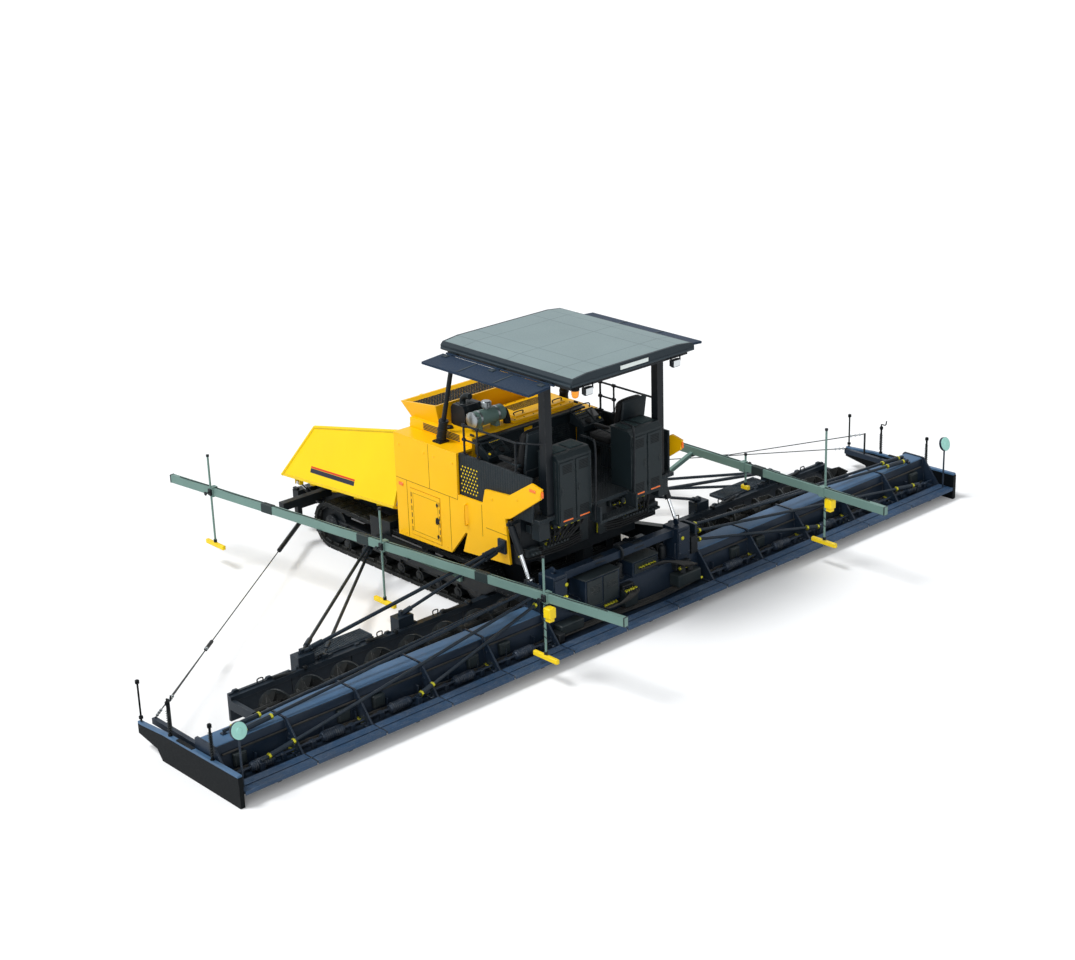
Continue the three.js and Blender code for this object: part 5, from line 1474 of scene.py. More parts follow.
    def _routes(self) -> list[Array]:
        """The lines that the pipes follow over the rear box, each clipped at both ends."""
        routes = []
        for i in range(7):
            x = 0.33 + i * 0.105
            end = 0.58 + i * 0.06
            middle = (x + end) / 2
            routes.append(
                smooth_path([(x, 1.84, 1.48), (x, 1.9, 1.44), (middle, 1.9, 1.36), (end, 1.88, 1.27), (end, 1.8, 1.24)],
                6))
        for i in range(5):
            z = 1.1 + i * 0.035
            routes.append(
                smooth_path([(0.1, 1.73, z), (0.3, 1.77, z - 0.02), (0.62, 1.775, z - 0.04), (1.2, 1.75, z - 0.02),
                (1.29, 1.64, z + 0.02)], 6))
        for i in range(4):
            x = 0.45 + i * 0.12
            routes.append(
                smooth_path([(x, 1.93, 1.51), (x, 1.96, 1.45), (x + 0.05, 1.9, 1.38), (x + 0.08, 1.78, 1.3)], 6))
        return routes

    def _pipes(self) -> None:
        """A round section carried along each route."""
        for i, route in enumerate(self._routes()):
            self.shape.tube(route, 0.013 if i % 3 else 0.018, 8)

    def _fittings(self) -> None:
        """A six-sided nut at both ends of each pipe."""
        self.shape.end_nuts(self._routes(), 0.024, 0.03)


@dataclass
class Canopy(SubAssembly):
    """Trim, lamps, beacon and plates of the roof, and the flaps' fittings."""

    rear_y: float = 2.62
    gutter_z: float = 3.722
    half: float = 1.15

    def build(self) -> None:
        """Makes the canopy's fittings."""
        self.one("roof_edge_trim", self._trim, Palette.SLATE, slot="roof_grey")
        self.one("roof_lining", self._lining, Palette.CHARCOAL)
        self.one("work_lamp_bodies", self._lamps, Palette.BLACK)
        self.one("work_lamp_glasses", self._glasses, Palette.LAMP)
        self.one("beacon", self._beacon, Palette.AMBER, 30)
        self.one("beacon_base", self._beacon_base, Palette.RUBBER, 30)
        self.one("blank_plate", self._plate, Palette.WHITE)
        self.both("post_fittings", self._posts, Palette.BLACK, 30)
        self.both("flap_fittings", self._flap, Palette.SLATE, body="{}_roof_flap")

    def _trim(self) -> None:
        """A rounded gutter along each side and a lip across the front and the back."""
        for sign in (-1, 1):
            self.shape.rod(
                (sign * (self.half - 0.002), 0.01, self.gutter_z),
                (sign * (self.half - 0.002), self.rear_y - 0.01, self.gutter_z), 0.018, 12)
        for y in (0.004, self.rear_y - 0.004):
            self.shape.rod((-self.half + 0.01, y, self.gutter_z), (self.half - 0.01, y, self.gutter_z), 0.018, 12)

    def _lining(self) -> None:
        """The ribs and the middle panel under the roof."""
        for x in (-0.78, -0.39, 0.0, 0.39, 0.78):
            self.shape.block((x - 0.02, 0.24, 3.672), (x + 0.02, 1.95, 3.7))
        self.shape.block((-0.3, 0.9, 3.66), (0.3, 1.4, 3.69), 0.01)
        self.shape.block((-1.0, 2.06, 3.69), (1.0, 2.46, 3.7))

    def _lamp_places(self) -> list[tuple[float, float, float]]:
        """Where each lamp hangs and which way it faces along y."""
        return [(sign * 0.82, y, facing) for sign in (-1, 1) for y, facing in ((2.585, 1.0), (0.1, -1.0))]

    def _lamps(self) -> None:
        """A housing with fins, a bracket and a bolt for each lamp."""
        for x, y, facing in self._lamp_places():
            self.shape.block((x - 0.075, y - 0.035, 3.53), (x + 0.075, y + 0.03, 3.64), 0.014)
            for fin in np.linspace(-0.06, 0.06, 7):
                self.shape.block(
                    (x + fin - 0.003, y - facing * 0.055, 3.54), (x + fin + 0.003, y - facing * 0.02, 3.63), 0.001)
            self.shape.block((x - 0.09, y - 0.012, 3.6), (x - 0.08, y + 0.012, 3.7), 0.002)
            self.shape.block((x + 0.08, y - 0.012, 3.6), (x + 0.09, y + 0.012, 3.7), 0.002)
            self.shape.rod((x - 0.096, y, 3.605), (x + 0.096, y, 3.605), 0.008, 8)

    def _glasses(self) -> None:
        """The glass of each lamp."""
        for x, y, facing in self._lamp_places():
            face = y + (0.03 if facing > 0 else -0.035)
            self.shape.block((x - 0.062, face - 0.004, 3.543), (x + 0.062, face + 0.004, 3.627), 0.003)

    def _beacon(self) -> None:
        """A ribbed amber dome hanging at the roof's rear left corner."""
        profile = [
            (0, 0.052), (0.03, 0.052), (0.036, 0.05), (0.062, 0.049), (0.068, 0.047), (0.09, 0.042), (0.105, 0.025),
            (0.108, 0)]
        self.shape.turned((1.05, 2.585, 3.648), DOWN, profile, 28)

    def _beacon_base(self) -> None:
        """The beacon's rubber foot and stalk."""
        self.shape.turned(
            (1.05, 2.585, 3.7), DOWN, [(0, 0.03), (0.02, 0.03), (0.03, 0.058), (0.054, 0.058), (0.056, 0.05)], 24)

    def _plate(self) -> None:
        """A blank plate on the roof's rear edge, with four rivets."""
        self.shape.block((-0.26, self.rear_y, 3.745), (0.26, self.rear_y + 0.008, 3.8), 0.003)
        spots = [(x, self.rear_y + 0.008, z) for x in (-0.245, 0.245) for z in (3.757, 3.788)]
        self.shape.bolts(spots, REAR, 0.005, 0.003)

    def _posts(self) -> None:
        """Foot plates and bolts of the posts, and bands on the front struts' sleeves."""
        self.shape.block((0.965, 1.905, 1.752), (1.155, 2.095, 1.768))
        spots = [(1.06 + dx, 2.0 + dy, 1.768) for dx in (-0.08, 0.08) for dy in (-0.08, 0.08)]
        self.shape.bolts(spots, UP, 0.014, 0.01)
        low, high = np.array([1.18, -0.06, 2.358]), np.array([1.085, 0.19, 3.66])
        for share in (0.03, 0.12, 0.21):
            start = low + (high - low) * share
            self.shape.turned(start, high - low, sleeve(0.034, 0.066, 0.073, 0.004), 22)
        self.shape.bolts(
            [(1.11, -0.12, 2.364), (1.25, -0.12, 2.364), (1.11, 0.0, 2.364), (1.25, 0.0, 2.364)], UP, 0.013, 0.009)
        self.shape.block((1.0, 1.96, 3.5), (1.12, 2.04, 3.52))

    def _flap(self) -> None:
        """Two stiffening ribs on the flap's top, its arm brackets and an edge bead."""
        low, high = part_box("left_roof_flap")
        for y in np.linspace(low[1] + 0.12, high[1] - 0.12, 3):
            self.shape.block((1.245, y - 0.05, 3.676), (1.33, y + 0.05, 3.698))
            self.shape.bolts([(1.27, y + dy, 3.698) for dy in (-0.03, 0.03)], UP, 0.01, 0.006)
        self.shape.rod((high[0] - 0.008, low[1] + 0.02, 3.644), (high[0] - 0.008, high[1] - 0.02, 3.644), 0.008, 8)
        for y in (low[1] + 0.72, high[1] - 0.72):
            self.shape.bar((1.25, y, 3.689), (1.6, y, 3.663), 0.03, 0.01)


@dataclass
class AugerFront(SubAssembly):
    """Wear segments of the augers, and the plates, gratings and struts' fittings in front of them."""

    auger_y: float = 1.56
    auger_z: float = 0.33
    auger_in: float = 0.14
    auger_out: float = 5.67
    radius: float = 0.2
    pitch: float = 0.56
    plate_y: float = 1.08
    sections: int = 5

    def build(self) -> None:
        """Makes the fittings of both sides."""
        self.both("auger_wear_segments", self._segments, Palette.STEEL_DARK, 50, body="{}_auger")
        self.both("auger_collars", self._collars, Palette.TRACK, 30, body="{}_auger")
        self.both("tunnel_plate_fittings", self._plates, Palette.BLACK)
        self.both("step_grating", self._grating, Palette.GRATING)
        self.both("strut_fittings", self._struts, Palette.STRUT, 30)

    def _segments(self) -> None:
        """A thick rim along each flight: a rectangle carried along the helix at the flight's edge.

        The angle grows in step with the distance along the shaft, one turn a pitch.
        """
        length = self.auger_out - self.auger_in
        turns = round(length / self.pitch * 8) / 8
        angle = np.linspace(0, 2 * math.pi * turns, int(turns * 32) + 1)[:, None]
        x = self.auger_in + length * angle / (2 * math.pi * turns)
        section = np.array(
            [(self.radius - 0.05, -0.011), (self.radius + 0.002, -0.011), (self.radius + 0.002, 0.011),
            (self.radius - 0.05, 0.011)])
        reach, shift = section[None, :, 0], section[None, :, 1]
        rings = np.stack([x + shift, self.auger_y + reach * np.cos(angle), self.auger_z + reach * np.sin(angle)], -1)
        self.shape.rings(rings)

    def _collars(self) -> None:
        """Bolted collars where the shaft's lengths meet."""
        for x in np.arange(1.2, 5.6, 1.12):
            self.shape.turned((x - 0.06, self.auger_y, self.auger_z), LEFT, sleeve(0.12, 0.044, 0.066, 0.004), 18)

    def _plates(self) -> None:
        """Bolt rows, stiffeners, lift loops and the joint straps on the front plates."""
        inner, outer = 0.94, 5.76
        segment = (outer - inner) / self.sections
        face = self.plate_y
        for i in range(self.sections):
            x = inner + i * segment
            self.shape.block((x + 0.06, face - 0.022, 0.36), (x + segment - 0.07, face, 0.4))
            self.shape.block((x + 0.06, face - 0.018, 0.1), (x + segment - 0.07, face, 0.14))
            for share in (0.25, 0.5, 0.75):
                place = x + segment * share
                self.shape.block((place - 0.012, face - 0.03, 0.12), (place + 0.012, face, 0.38))
            self.shape.bolts(
                [(x + dx, face - 0.022, 0.38) for dx in np.linspace(0.1, segment - 0.12, 6)], FRONT, 0.013, 0.01)
            self.shape.block((x - 0.035, face - 0.014, 0.12), (x + 0.035, face - 0.001, 0.42))
            loop = [
                (x + 0.42, face + 0.02, 0.435), (x + 0.42, face + 0.02, 0.5), (x + 0.5, face + 0.02, 0.5),
                (x + 0.5, face + 0.02, 0.435)]
            self.shape.curve(loop, 5, 0.009)
        for x in (1.8, 3.1, 4.6):
            self.shape.rod((x, face + 0.07, 0.4), (x + 0.5, face + 0.07, 0.475), 0.022, 12)
            self.shape.block((x - 0.03, face + 0.04, 0.4), (x + 0.03, face + 0.1, 0.47))

    def _grating(self) -> None:
        """Bearing bars and cross bars over the step, as one array of copies."""
        low_x, high_x, front, rear, top = 3.42, 4.42, 0.79, 1.09, 0.466
        bar = Shape().block((0, front + 0.01, top - 0.002), (0.007, rear - 0.03, top + 0.018), 0.001)
        self.shape.copies(bar, [(x, 0, 0) for x in np.arange(low_x + 0.015, high_x - 0.015, 0.033)])
        cross = Shape().block((low_x + 0.01, 0, top - 0.002), (high_x - 0.01, 0.006, top + 0.012), 0.001)
        self.shape.copies(cross, [(0, y, 0) for y in np.linspace(front + 0.02, rear - 0.04, 7)])
        for x, y in ((low_x, front), (high_x - 0.012, front)):
            self.shape.block((x, y, top - 0.02), (x + 0.012, rear - 0.03, top + 0.022), 0.002)
        self.shape.block((low_x, front, top - 0.02), (high_x, front + 0.012, top + 0.022), 0.002)

    def _struts(self) -> None:
        """Threaded ends, lock nuts and pins of the struts, and the feet's bolts."""
        runs = (
            ((1.358, -1.56, 0.5), (4.55, 1.04, 0.6), 0.024), ((1.358, -1.56, 0.43), (4.25, 1.09, 0.47), 0.024),
            ((1.39, 1.43, 1.25), (4.55, 1.04, 0.6), 0.026), ((1.39, 1.38, 1.18), (2.9, 1.04, 0.6), 0.024))
        for start, end, radius in runs:
            a, b = np.asarray(start), np.asarray(end)
            for share in (0.04, 0.9):
                place = a + (b - a) * share
                self.shape.turned(
                    place, b - a, [(0, radius), (0.006, radius + 0.013), (0.16, radius + 0.013), (0.166, radius)], 12)
                self.shape.turned(
                    place + unit(b - a) * 0.17, b - a,
                    [(0, radius), (0.002, radius + 0.016), (0.03, radius + 0.016), (0.032, radius)], 6)
        for x in (4.55, 2.9):
            spots = [(x + dx, self.plate_y - 0.12, z) for dx in (-0.1, 0.1) for z in (0.37, 0.46, 0.55)]
            self.shape.bolts(spots, FRONT, 0.015, 0.012)
            self.shape.rod((x - 0.05, 1.04, 0.605), (x + 0.05, 1.04, 0.605), 0.022, 14)


@dataclass
class Screed(SubAssembly):
    """Strips, boards, gusset bolts and trough fittings of the screed's extensions."""

    body: ClassVar[str] = "screed"
    inner: float = 1.5003
    outer: float = 6.78
    sections: int = 5
    front: float = 1.95
    top: float = 0.55
    deck: float = 0.16
    arm_face: float = 1.495
    pin_y: float = -1.25
    pin_z: float = 0.56
    motor_y: float = 2.53
    motor_z: float = 0.235
    pipes: tuple[Point, ...] = ((2.4, 0.2, 0.016), (2.44, 0.195, 0.012), (2.475, 0.192, 0.012))

    def build(self) -> None:
        """Makes the fittings of both extensions."""
        # The top strips and the boards are lighter copies of the screed's blue: painted light on their tops.
        self.both("screed_top_strip", self._strips, Palette.STRIP)
        self.both("screed_boards", self._boards, Palette.BOARD_PAINTED_LIGHT)
        self.both("screed_joint_bolts", self._bolts, Palette.SCREED)
        self.both("screed_trough_pipes", self._pipes, Palette.HOSE, 30)
        self.both("screed_vibrators", self._vibrators, Palette.SCREED, 30)
        self.both("screed_boxes", self._boxes, Palette.CABINET)
        self.both("screed_fittings", self._fittings, Palette.FITTING, 30)
        self.both("stay_turnbuckles", self._turnbuckles, Palette.FITTING, 30, slot="screed_blue")
        self.both("tow_arm_fittings", self._tow_arm, Palette.BLACK, 30)
        self.both("rope_clamps", self._rope, Palette.STEEL, 30, slot="black_paint")

    def _joints(self) -> Array:
        """Where each gusset stands."""
        step = (self.outer - self.inner) / self.sections
        places = self.inner + 0.012 + step * np.arange(self.sections + 1)
        places[-1] -= 0.024
        return places

    def _strips(self) -> None:
        """A raised plate along the top between each pair of gussets, with a folded rear lip, in a lighter blue that is
        painted light on the top.
        """
        joints = self._joints()
        for a, b in zip(joints[:-1] + 0.02, joints[1:] - 0.02):
            self.shape.outline(
                [(self.front + 0.05, self.top - 0.002), (self.front + 0.05, self.top + 0.012),
                (2.286, self.top + 0.012), (2.312, self.top + 0.002), (2.332, self.top - 0.09),
                (2.322, self.top - 0.09), (2.29, self.top - 0.002)], 0, a, b, 0.002)

    def _boards(self) -> None:
        """Walkway boards in pairs of planks, with raised grip bars and a dark gap at every joint."""
        low, high = self.inner + 0.001, self.outer - 0.001
        count = 5
        step = (high - low) / count
        for i in range(count):
            self.shape.planks(low + i * step + 0.012, low + (i + 1) * step - 0.012)

    def _bolts(self) -> None:
        """Bolts in an arc round each gusset, and gusset stiffeners beside every joint."""
        for x in self._joints()[:-1]:
            spots = [
                (x + 0.012, y, z) for y, z in ((1.99, 0.12), (1.99, 0.3), (1.99, 0.48), (2.14, 0.52), (2.27, 0.5),
                (2.4, 0.38), (2.5, 0.26), (2.58, 0.19))]
            self.shape.bolts(spots, LEFT, 0.016, 0.012)
            self.shape.block((x - 0.05, self.front - 0.022, 0.06), (x + 0.05, self.front - 0.001, 0.5))
            self.shape.bolts(
                [(x + dx, self.front - 0.022, z) for dx in (-0.034, 0.034) for z in (0.12, 0.28, 0.44)], FRONT, 0.013,
                0.01)
            self.shape.block((x - 0.06, 2.372, self.deck), (x + 0.06, 2.6, self.deck + 0.02))
        for x in np.arange(self.inner + 0.25, self.outer - 0.1, 0.5):
            self.shape.block((x - 0.006, 2.33, self.deck), (x + 0.006, 2.42, self.deck + 0.16))

    def _pipes(self) -> None:
        """Three pipes along the trough with a small sag between clips, and a conduit under the top's rear edge."""
        x = np.linspace(self.inner + 0.02, self.outer - 0.1, 120)
        for i, (y, z, radius) in enumerate(self.pipes):
            sway = 0.006 * np.sin(2 * math.pi * x / 0.52 + i)
            self.shape.tube(
                np.stack([x, y + sway, np.full_like(x, z) + 0.004 * np.cos(4 * math.pi * x / 0.52)], -1), radius, 8)
        self.shape.tube(np.stack([x, np.full_like(x, 2.352), np.full_like(x, 0.43)], -1), 0.014, 8)

    def _vibrators(self) -> None:
        """A finned motor and its shaft guards in every section of the trough."""
        joints = self._joints()
        for a, b in zip(joints[:-1], joints[1:]):
            middle = (a + b) / 2
            self.shape.turned(
                (middle - 0.17, self.motor_y, self.motor_z), LEFT,
                [(0, 0), (0, 0.045), (0.02, 0.062), (0.32, 0.062), (0.34, 0.045), (0.34, 0)], 20)
            for fin in np.linspace(middle - 0.12, middle + 0.12, 9):
                self.shape.turned((fin, self.motor_y, self.motor_z), LEFT, sleeve(0.006, 0.06, 0.07), 20)
            self.shape.rod((a + 0.03, self.motor_y, self.motor_z), (b - 0.03, self.motor_y, self.motor_z), 0.018, 12)
            for side in (-0.3, 0.3):
                self.shape.block(
                    (middle + side - 0.03, self.motor_y - 0.04, self.deck),
                    (middle + side + 0.03, self.motor_y + 0.04, 0.25))

    def _boxes(self) -> None:
        """A junction box on the top's rear face in every section, and grease blocks on the deck."""
        joints = self._joints()
        for i, (a, b) in enumerate(zip(joints[:-1], joints[1:])):
            x = a + (b - a) * (0.22 if i % 2 else 0.7)
            self.shape.block((x - 0.09, 2.335, 0.23), (x + 0.09, 2.4, 0.4), 0.01)
            self.shape.block((x - 0.075, 2.4, 0.25), (x + 0.075, 2.408, 0.38), 0.004)
            self.shape.block((x + 0.16, 2.36, self.deck), (x + 0.22, 2.41, self.deck + 0.05))

    def _fittings(self) -> None:
        """Yellow-green nuts where the pipes meet the boxes and joints."""
        for x in self._joints()[1:-1]:
            for y, z, radius in self.pipes:
                for shift in (-0.055, 0.02):
                    self.shape.turned(
                        (x + shift, y, z), LEFT, [(0, radius), (0.003, radius + 0.01), (0.032, radius + 0.01),
                        (0.035, radius)], 6)

    def _turnbuckles(self) -> None:
        """Nuts at the far ends of the stays, and at their tower."""
        starts = ((1.535, 2.11, 0.85), (1.535, 2.19, 0.9), (1.535, 2.27, 0.83), (1.535, 2.27, 0.7))
        ends = ((6.5, 2.13, 0.6), (6.42, 2.29, 0.6), (6.3, 2.59, 0.3), (3.9, 2.608, 0.3))
        for start, end in zip(starts, ends):
            a, b = np.asarray(start), np.asarray(end)
            length = float(np.linalg.norm(b - a))
            for distance in (0.05, length * 0.9 - 0.04, length * 0.97 + 0.005):
                self.shape.turned(a + unit(b - a) * distance, b - a, sleeve(0.035, 0.022, 0.038, 0.003), 6)

    def _tow_arm(self) -> None:
        """Bolted side plates, a graduated strip's backing and the pins' caps on the tow arm."""
        face = self.arm_face
        self.shape.block((face, -1.1, 0.5), (face + 0.008, -0.5, 0.62))
        self.shape.block((face, 1.34, 0.59), (face + 0.008, 1.8, 0.7))
        spots = [(face + 0.008, y, z) for y in np.linspace(-1.05, -0.55, 5) for z in (0.52, 0.6)]
        spots += [(face + 0.008, y, z) for y in np.linspace(1.38, 1.76, 4) for z in (0.61, 0.68)]
        self.shape.bolts(spots, LEFT, 0.014, 0.011)
        self.shape.turned((face, self.pin_y, self.pin_z), LEFT, cap(0.02, 0.085, 0.012, 0.07), 26)
        self.shape.bolts(
            [(face + 0.02, self.pin_y + 0.05 * math.cos(t), self.pin_z + 0.05 * math.sin(t)) for t in np.linspace(0,
            5.24, 6)], (1, 0, 0), 0.01, 0.008)
        for y in (0.95, 1.75):
            self.shape.block((1.39, y - 0.05, 0.7 if y > 1.3 else 0.66), (1.47, y + 0.05, 0.775 if y > 1.3 else 0.69))

    def _rope(self) -> None:
        """Clamps and a thimble near each end of the ropes."""
        start, end = np.array([1.49, -3.23, 0.33]), np.array([6.67, 0.87, 0.39])
        fork = start + (end - start) * 0.68
        upper = np.array([6.67, 1.22, 0.725])
        for a, b in ((fork, end), (fork, upper)):
            for share in (0.05, 0.9, 0.93, 0.96):
                place = a + (b - a) * share
                self.shape.turned(place, b - a, sleeve(0.024, 0.008, 0.02, 0.002), 10)


@dataclass
class CentreScreed(SubAssembly):
    """The machinery on the screed's middle: towers, crown screw, boxes and pipework."""

    body: ClassVar[str] = "screed"
    top: float = 0.55
    half: float = 1.5
    screw_y: float = 2.2
    screw_z: float = 0.93

    def build(self) -> None:
        """Makes the centre's fittings."""
        # The boards and the end strips are lighter copies of the screed's blue: painted light on their tops.
        self.one("centre_boards", self._boards, Palette.BOARD_PAINTED_LIGHT)
        self.one("centre_panels", self._panels, Palette.CABINET)
        self.one("centre_machinery", self._machinery, Palette.BLACK, 30)
        self.one("centre_pipes", self._pipes, Palette.HOSE, 30)
        self.one("centre_fittings", self._fittings, Palette.FITTING, 30)
        self.one("centre_strips", self._strips, Palette.STRIP)
        self.both("tower_fittings", self._towers, Palette.SCREED)

    def _boards(self) -> None:
        """Three walkway boards with grip bars."""
        for i in range(3):
            self.shape.planks(-self.half + i + 0.012, -self.half + i + 1 - 0.012)

    def _panels(self) -> None:
        """Doors, lids and side covers on the two boxes."""
        self.shape.block((-0.67, 2.33, 0.58), (-0.23, 2.345, 0.74))
        self.shape.block((-0.71, 2.05, 0.755), (-0.19, 2.34, 0.772), 0.008)
        self.shape.block((0.18, 2.42, 0.42), (0.46, 2.435, 0.8))
        self.shape.block((0.49, 2.42, 0.42), (0.77, 2.435, 0.8))
        self.shape.block((0.14, 2.09, 0.815), (0.81, 2.43, 0.832), 0.008)
        self.shape.block((-1.36, 2.36, 0.22), (-0.9, 2.55, 0.4), 0.012)
        self.shape.block((-0.14, 2.34, 0.22), (0.1, 2.5, 0.46), 0.012)
        self.shape.block((0.92, 2.36, 0.22), (1.34, 2.52, 0.36), 0.012)
        for x in (-0.62, 0.22, 0.53):
            for row in range(5):
                self.shape.block(
                    (x, 2.428 if x > 0 else 2.338, 0.6 + row * 0.024),
                    (x + 0.18, 2.443 if x > 0 else 2.352, 0.61 + row * 0.024), 0.002)

    def _machinery(self) -> None:
        """The crown screw with its chain wheel, pumps, accumulators and manifolds."""
        self.shape.rod((-0.95, self.screw_y, self.screw_z), (0.95, self.screw_y, self.screw_z), 0.045, 16)
        self.shape.turned(
            (-0.06, self.screw_y, self.screw_z), LEFT,
            [(0, 0.05), (0, 0.11), (0.014, 0.118), (0.028, 0.11), (0.028, 0.05)], 30)
        for x in (-0.4, 0.36):
            self.shape.turned((x - 0.09, self.screw_y, self.screw_z), LEFT, sleeve(0.18, 0.05, 0.072), 6)
        for x in (-0.98, -0.78, 0.95):
            self.shape.turned(
                (x, 2.14, self.top), UP, [(0, 0.06), (0.16, 0.06), (0.19, 0.045), (0.21, 0.02), (0.21, 0)], 20)
        self.shape.turned(
            (-0.05, 2.2, self.top), UP, [(0, 0.075), (0.03, 0.075), (0.04, 0.055), (0.2, 0.055), (0.22, 0.03),
            (0.22, 0)], 20)
        for x, wide in ((-1.28, 0.3), (-0.14, 0.22), (0.84, 0.18)):
            self.shape.block((x, 2.3, 0.42), (x + wide, 2.42, 0.52))
            for step in np.arange(0.03, wide, 0.055):
                self.shape.rod((x + step, 2.42, 0.47), (x + step, 2.48, 0.47), 0.018, 10)
        for x in (-1.2, -1.05):
            self.shape.turned((x, 2.47, 0.4), UP, cap(0.12, 0.05, 0.1, 0.03), 16)
        self.shape.block((-0.35, 1.93, 0.3), (0.35, 1.949, 0.5))
        self.shape.block((1.36, 2.4, 0.17), (1.46, 2.6, 0.3))

    def _routes(self) -> list[Array]:
        """The pipes' lines among the boxes."""
        routes = []
        for i in range(6):
            x, end = -1.24 + i * 0.05, -0.6 + i * 0.055
            routes.append(
                smooth_path([(x, 2.47, 0.47), (x, 2.56, 0.5 + 0.01 * i), ((x + end) / 2, 2.5, 0.62 + 0.015 * i),
                (end, 2.42, 0.66), (end, 2.345, 0.66)], 7))
        for i in range(5):
            x, end = -0.1 + i * 0.045, 0.24 + i * 0.05
            routes.append(
                smooth_path([(x, 2.47, 0.47), (x, 2.55, 0.45), ((x + end) / 2, 2.56, 0.38), (end, 2.5, 0.34),
                (end, 2.43, 0.36)], 7))
        for i in range(4):
            x = 0.87 + i * 0.045
            routes.append(
                smooth_path([(x, 2.47, 0.47), (x + 0.02, 2.54, 0.52), (x + 0.16, 2.48, 0.62),
                (1.12 + i * 0.04, 2.37, 0.7)], 7))
        for i in range(4):
            y = 2.4 + i * 0.04
            routes.append(
                smooth_path([(-1.4, y, 0.2 + 0.01 * i), (-0.5, y + 0.02, 0.19), (0.3, y, 0.2),
                (1.4, y + 0.01, 0.19 + 0.01 * i)], 10))
        return routes

    def _pipes(self) -> None:
        """A round section carried along each route."""
        for i, route in enumerate(self._routes()):
            self.shape.tube(route, 0.012 + 0.004 * (i % 2), 8)

    def _fittings(self) -> None:
        """Nuts at both ends of each pipe, and the crown screw's pointer."""
        self.shape.end_nuts(self._routes(), 0.025, 0.032)
        for x in (-1.16, 1.1):
            self.shape.turned((x, 2.36, 0.86), REAR, cap(0.026, 0.03, 0.02, 0.02), 16)

    def _strips(self) -> None:
        """Blue plates on the top at both ends of the centre, lighter than the screed's blue as painted light on the
        top.
        """
        for a, b in ((-1.48, -1.34), (1.34, 1.48)):
            self.shape.block((a, 2.0, self.top - 0.002), (b, 2.284, self.top + 0.012))

    def _towers(self) -> None:
        """Bolted covers, ribs and a lifting eye on the tower."""
        self.shape.block((1.09, 2.36, 0.6), (1.31, 2.374, 0.96))
        self.shape.bolts([(x, 2.374, z) for x in (1.11, 1.29) for z in (0.63, 0.78, 0.93)], REAR, 0.014, 0.011)
        self.shape.block((1.08, 2.06, 0.998), (1.32, 2.36, 1.012))
        for y in (2.1, 2.32):
            self.shape.block((1.05, y - 0.008, 0.56), (1.08, y + 0.008, 0.8))
        self.shape.turned((1.19, 2.21, 1.055), LEFT, sleeve(0.02, 0.022, 0.048), 18)


@dataclass
class EndGate(SubAssembly):
    """The end gates' rail, springs, handles and the screeds' end fittings."""

    body: ClassVar[str] = "{}_end_gate"
    middle_x: float = 6.818
    half: float = 0.031
    posts: tuple[tuple[float, float], ...] = ((0.78, 0.93), (1.44, 0.87), (2.35, 0.9))

    def build(self) -> None:
        """Makes the fittings of both gates."""
        # The rail's lighter blue is painted light on the gate's top edge.
        self.both("gate_rail", self._rail, Palette.STRIP)
        self.both("gate_fittings", self._fittings, Palette.GATE, 30)
        self.both("gate_springs", self._springs, Palette.STEEL_DARK, 60, slot="screed_blue")
        self.both("guide_disc_face", self._disc, Palette.DISC, 30, body="screed")

    def _rail(self) -> None:
        """A rail on the gate's sloping top edge."""
        path = ((0.74, 0.336), (0.82, 0.336), (1.3, 0.376), (2.91, 0.406))
        for (ya, za), (yb, zb) in zip(path, path[1:]):
            self.shape.bar((self.middle_x, ya, za), (self.middle_x, yb, zb), 2 * self.half, 0.05, 0.006)

    def _fittings(self) -> None:
        """Collars, crank handles, wear shoe and bolts."""
        for y, top in self.posts:
            self.shape.turned((self.middle_x, y, 0.4), UP, sleeve(0.03, 0.018, 0.028), 14)
            self.shape.turned((self.middle_x, y, top - 0.05), UP, sleeve(0.04, 0.018, 0.028), 14)
        crank = [
            (self.middle_x, 1.44, 0.87), (self.middle_x, 1.44, 0.9), (self.middle_x, 1.52, 0.91),
            (self.middle_x, 1.54, 0.98)]
        self.shape.curve(crank, 5, 0.01)
        face = self.middle_x + self.half
        self.shape.bolts([(face - 0.006, y, 0.05) for y in np.linspace(1.35, 2.85, 9)], LEFT, 0.012, 0.006)
        self.shape.block((self.middle_x - 0.028, 1.6, 0.372), (self.middle_x + 0.028, 1.95, 0.42))

    def _springs(self) -> None:
        """A coil round each post: a circle that rises one wire and a half each turn."""
        for y, low, high in ((1.44, 0.46, 0.74), (2.35, 0.48, 0.78)):
            turn = np.linspace(0, 2 * math.pi * 9, 9 * 14)
            path = np.stack(
                [self.middle_x + 0.024 * np.cos(turn), y + 0.024 * np.sin(turn), np.linspace(low, high, len(turn))], -1)
            self.shape.tube(path, 0.005, 6)

    def _disc(self) -> None:
        """A raised ring and hub on each face of the guide disc."""
        lean = unit((0.0, 38.0, 13.0))
        middle = np.array([6.7, 2.781, 0.9205])
        for facing in (1, -1):
            self.shape.turned(
                middle + lean * 0.019 * facing, lean * facing,
                [(0, 0.106), (0.004, 0.106), (0.006, 0.09), (0.006, 0.04), (0.012, 0.035), (0.014, 0)], 32)


